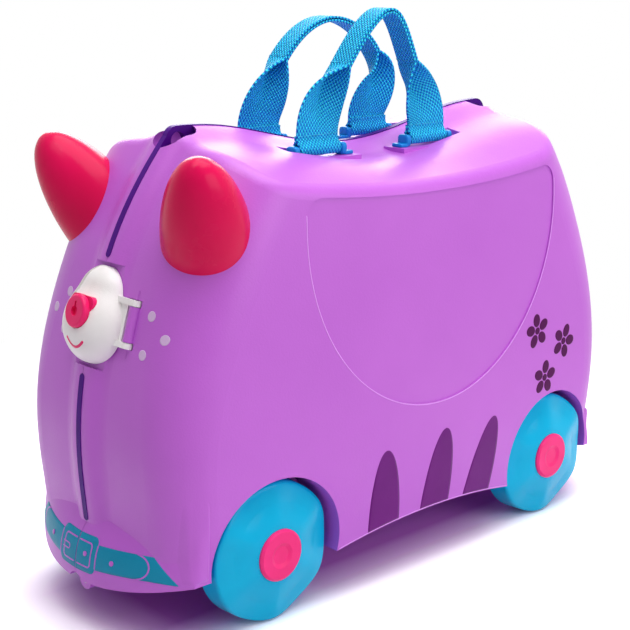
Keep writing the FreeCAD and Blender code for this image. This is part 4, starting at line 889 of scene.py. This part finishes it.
# clamped cubic spline through the points over their chord length, read at even steps of true length
def smoothPath(points, startWay, endWay, count, samples=1200):
    points = np.asarray(points, float)
    step = np.linalg.norm(np.diff(points, axis=0), axis=1)
    total = len(points)
    system = np.zeros((total, total))
    target = np.zeros((total, 3))
    system[0, 0] = system[-1, -1] = 1.0
    target[0], target[-1] = startWay, endWay
    inner = np.arange(1, total - 1)
    before, after = step[inner - 1][:, None], step[inner][:, None]
    system[inner, inner - 1] = 1 / before[:, 0]
    system[inner, inner] = 2 / before[:, 0] + 2 / after[:, 0]
    system[inner, inner + 1] = 1 / after[:, 0]
    target[inner] = 3 * ((points[inner] - points[inner - 1]) / before ** 2
                         + (points[inner + 1] - points[inner]) / after ** 2)
    slope = np.linalg.solve(system, target)
    knots = lengthAlong(points)
    spot = np.linspace(0, knots[-1], samples)
    span = np.clip(np.searchsorted(knots, spot, side="right") - 1, 0, total - 2)
    t = ((spot - knots[span]) / step[span])[:, None]
    h = step[span][:, None]
    dense = ((2 * t ** 3 - 3 * t ** 2 + 1) * points[span] + (t ** 3 - 2 * t ** 2 + t) * h * slope[span]
             + (3 * t ** 2 - 2 * t ** 3) * points[span + 1] + (t ** 3 - t ** 2) * h * slope[span + 1])
    run = lengthAlong(dense)
    even = np.linspace(0, run[-1], count)
    return np.stack([np.interp(even, run, dense[:, k]) for k in range(3)], 1)


# the turn round a bar, in (y, z) from the bar: down the stitched tail on the inner side,
# under the bar and up into the leg
def barLoop(plan):
    r, layer, tail, level = plan["loop"], plan["layer"], plan["tail"], plan["level"]
    bend, hem = r * plan["bendShare"], tail * plan["hemShare"]
    return np.array([(layer, tail), (layer, hem), (r, level), (bend, -bend), (0, -r),
                     (-bend, -bend), (-r, level), (-layer * plan["tuckShare"], hem), (0, tail)])


# the strap's middle line in three stretches: round the front bar, over the top, and round the rear bar
def strapRoute(plan, sideName):
    side = plan["side"] if sideName == "left" else -plan["side"]
    loop = barLoop(plan) * (-np.sign(side), 1)
    turns = []
    for x in plan["ends"]:
        points = np.stack([np.full(len(loop), x), side + loop[:, 0], plan["bar"] + loop[:, 1]], 1)
        turns.append(smoothPath(points, (0, 0, -1), (0, 0, 1), plan["loopRows"]))
    knees = [(x, side, up) for x, up in plan[sideName]]
    feet = [(x, side, plan["bar"] + plan["tail"]) for x in plan["ends"]]
    leg = smoothPath([feet[0]] + knees + [feet[1]], (0, 0, 1), (0, 0, -1), plan["rows"])
    return turns[0], leg, turns[1][::-1]


# the web is a flat strip that folds along its middle: the section's slope angle is half the fold
# times tanh(s / r)
def strapGrid(plan, sideName):
    first, leg, last = strapRoute(plan, sideName)
    path = np.vstack([first[:-1], leg, last[1:]])
    run = lengthAlong(path)
    ahead = np.gradient(path, run, axis=0)
    ahead /= np.linalg.norm(ahead, axis=1, keepdims=True)
    wide = np.cross(ahead, (0, 1.0, 0))
    wide[:len(first)] = (-1, 0, 0)
    wide[-len(last):] = (1, 0, 0)
    wide /= np.linalg.norm(wide, axis=1, keepdims=True)
    normal = np.cross(wide, ahead)
    fromEnd = np.minimum(run - run[len(first) - 1], run[-len(last)] - run)
    share = ((fromEnd - plan["foldStart"]) / (plan["foldEnd"] - plan["foldStart"])).clip(0, 1)
    fold = np.pi * share ** plan["foldPower"]
    half, middle = plan["width"] / 2, plan["fineSteps"] // 2
    across = half * press(np.linspace(-1, 1, plan["cols"]), plan["edgePower"])
    fine = np.linspace(-half, half, plan["fineSteps"] + 1)
    slope = fold[:, None] / 2 * np.tanh(fine / plan["foldRound"])[None]
    step = fine[1] - fine[0]
    flat = np.cumsum(np.cos(slope), 1) * step
    rise = np.cumsum(np.sin(slope), 1) * step
    flat -= flat[:, middle:middle + 1]
    # near the bars the fold stays on the strap's inner side, so that it clears the saddle when laid over
    inner = rise.max(1, keepdims=True) if sideName == "left" else rise.min(1, keepdims=True)
    rise -= inner + (rise.mean(1, keepdims=True) - inner) * share[:, None]
    pick = np.round((across + half) / step).astype(int)
    points = path[:, None] + wide[:, None] * flat[:, pick, None] + normal[:, None] * rise[:, pick, None]
    uv = np.stack(np.broadcast_arrays(run[:, None], across[None]), -1)
    return points, uv, fromEnd


# stitches, in metres: seams by their height above the bars, the hem's being those below hemTop
stitchPlan = {
    "length": 0.0026, "radius": 0.00042, "count": 6, "perRow": 11, "inset": 2,
    "seams": (0.0002, 0.0505), "hemTop": 0.005, "offset": strapPlan["thick"] / 2,
}


# surface normals of a grid, from the cross product of its two directions
def gridNormals(points):
    normal = np.cross(np.gradient(points, axis=0), np.gradient(points, axis=1))
    return normal / np.linalg.norm(normal, axis=-1, keepdims=True)


# a stitch is a small closed bead, long along the seam; all stitches of a strap are one mesh
def stitchMesh(name, centres, ahead, normal, plan, paint):
    count = plan["count"]
    lat = np.linspace(0, np.pi, count)[:, None]
    lon = np.linspace(0, 2 * np.pi, count, endpoint=False)[None]
    bead = np.stack(np.broadcast_arrays(np.cos(lat) * plan["length"] / 2,
                                        np.sin(lat) * np.cos(lon) * plan["radius"],
                                        np.sin(lat) * np.sin(lon) * plan["radius"]), -1).reshape(-1, 3)
    side = np.cross(normal, ahead)
    points = (centres[:, None] + ahead[:, None] * bead[None, :, :1] + normal[:, None] * bead[None, :, 1:2]
              + side[:, None] * bead[None, :, 2:3])
    starts = np.arange(len(centres)) * len(bead)
    faces = gridFaces(count, count, closeCols=True)[None] + starts[:, None, None]
    return meshPiece(name, points.reshape(-1, 3), faces.reshape(-1, 4), paint)


# rows of stitches: across the hem on both faces, and across the outside of the fold where the grip begins
def strapStitches(name, points, fromEnd, plan, paint):
    normal = gridNormals(points)
    width = np.gradient(points, axis=1)
    width /= np.linalg.norm(width, axis=-1, keepdims=True)
    rows, cols = points.shape[:2]
    picks = np.linspace(plan["inset"], cols - 1 - plan["inset"], plan["perRow"]).round().astype(int)
    centres, ahead, up = [], [], []
    rising = np.flatnonzero(fromEnd >= 0)
    front, back = rising[rising < rows // 2], rising[rising >= rows // 2][::-1]
    for leg in (front, back):
        for above in plan["seams"]:
            row = leg[np.argmin(np.abs(fromEnd[leg] - above))]
            toFold = ((points[row, 0] - points[row, cols // 2]) * normal[row, cols // 2]).sum()
            ways = (1.0, -1.0) if above < plan["hemTop"] else (-np.sign(toFold),)
            for way in ways:
                centres.append(points[row, picks] + normal[row, picks] * (way * plan["offset"]))
                ahead.append(width[row, picks])
                up.append(normal[row, picks])
    return stitchMesh(name, np.vstack(centres), np.vstack(ahead), np.vstack(up), plan, paint)


for sideName in ("left", "right"):
    points, uv, fromEnd = strapGrid(strapPlan, sideName)
    strap = meshPiece(sideName + "Webbing", points.reshape(-1, 3), gridFaces(*points.shape[:2]),
                      finishes["cyanWebbing"], uv.reshape(-1, 2))
    web = strap.modifiers.new("web", "SOLIDIFY")
    web.thickness = strapPlan["thick"]
    web.offset = 0.0
    web.use_even_offset = True
    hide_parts(sideName + "_strap")
    stitches = strapStitches(sideName + "Stitches", points, fromEnd, stitchPlan, finishes["cyanThread"])
    for piece in (strap, stitches):
        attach(piece, sideName + "_handle")
print("straps woven")
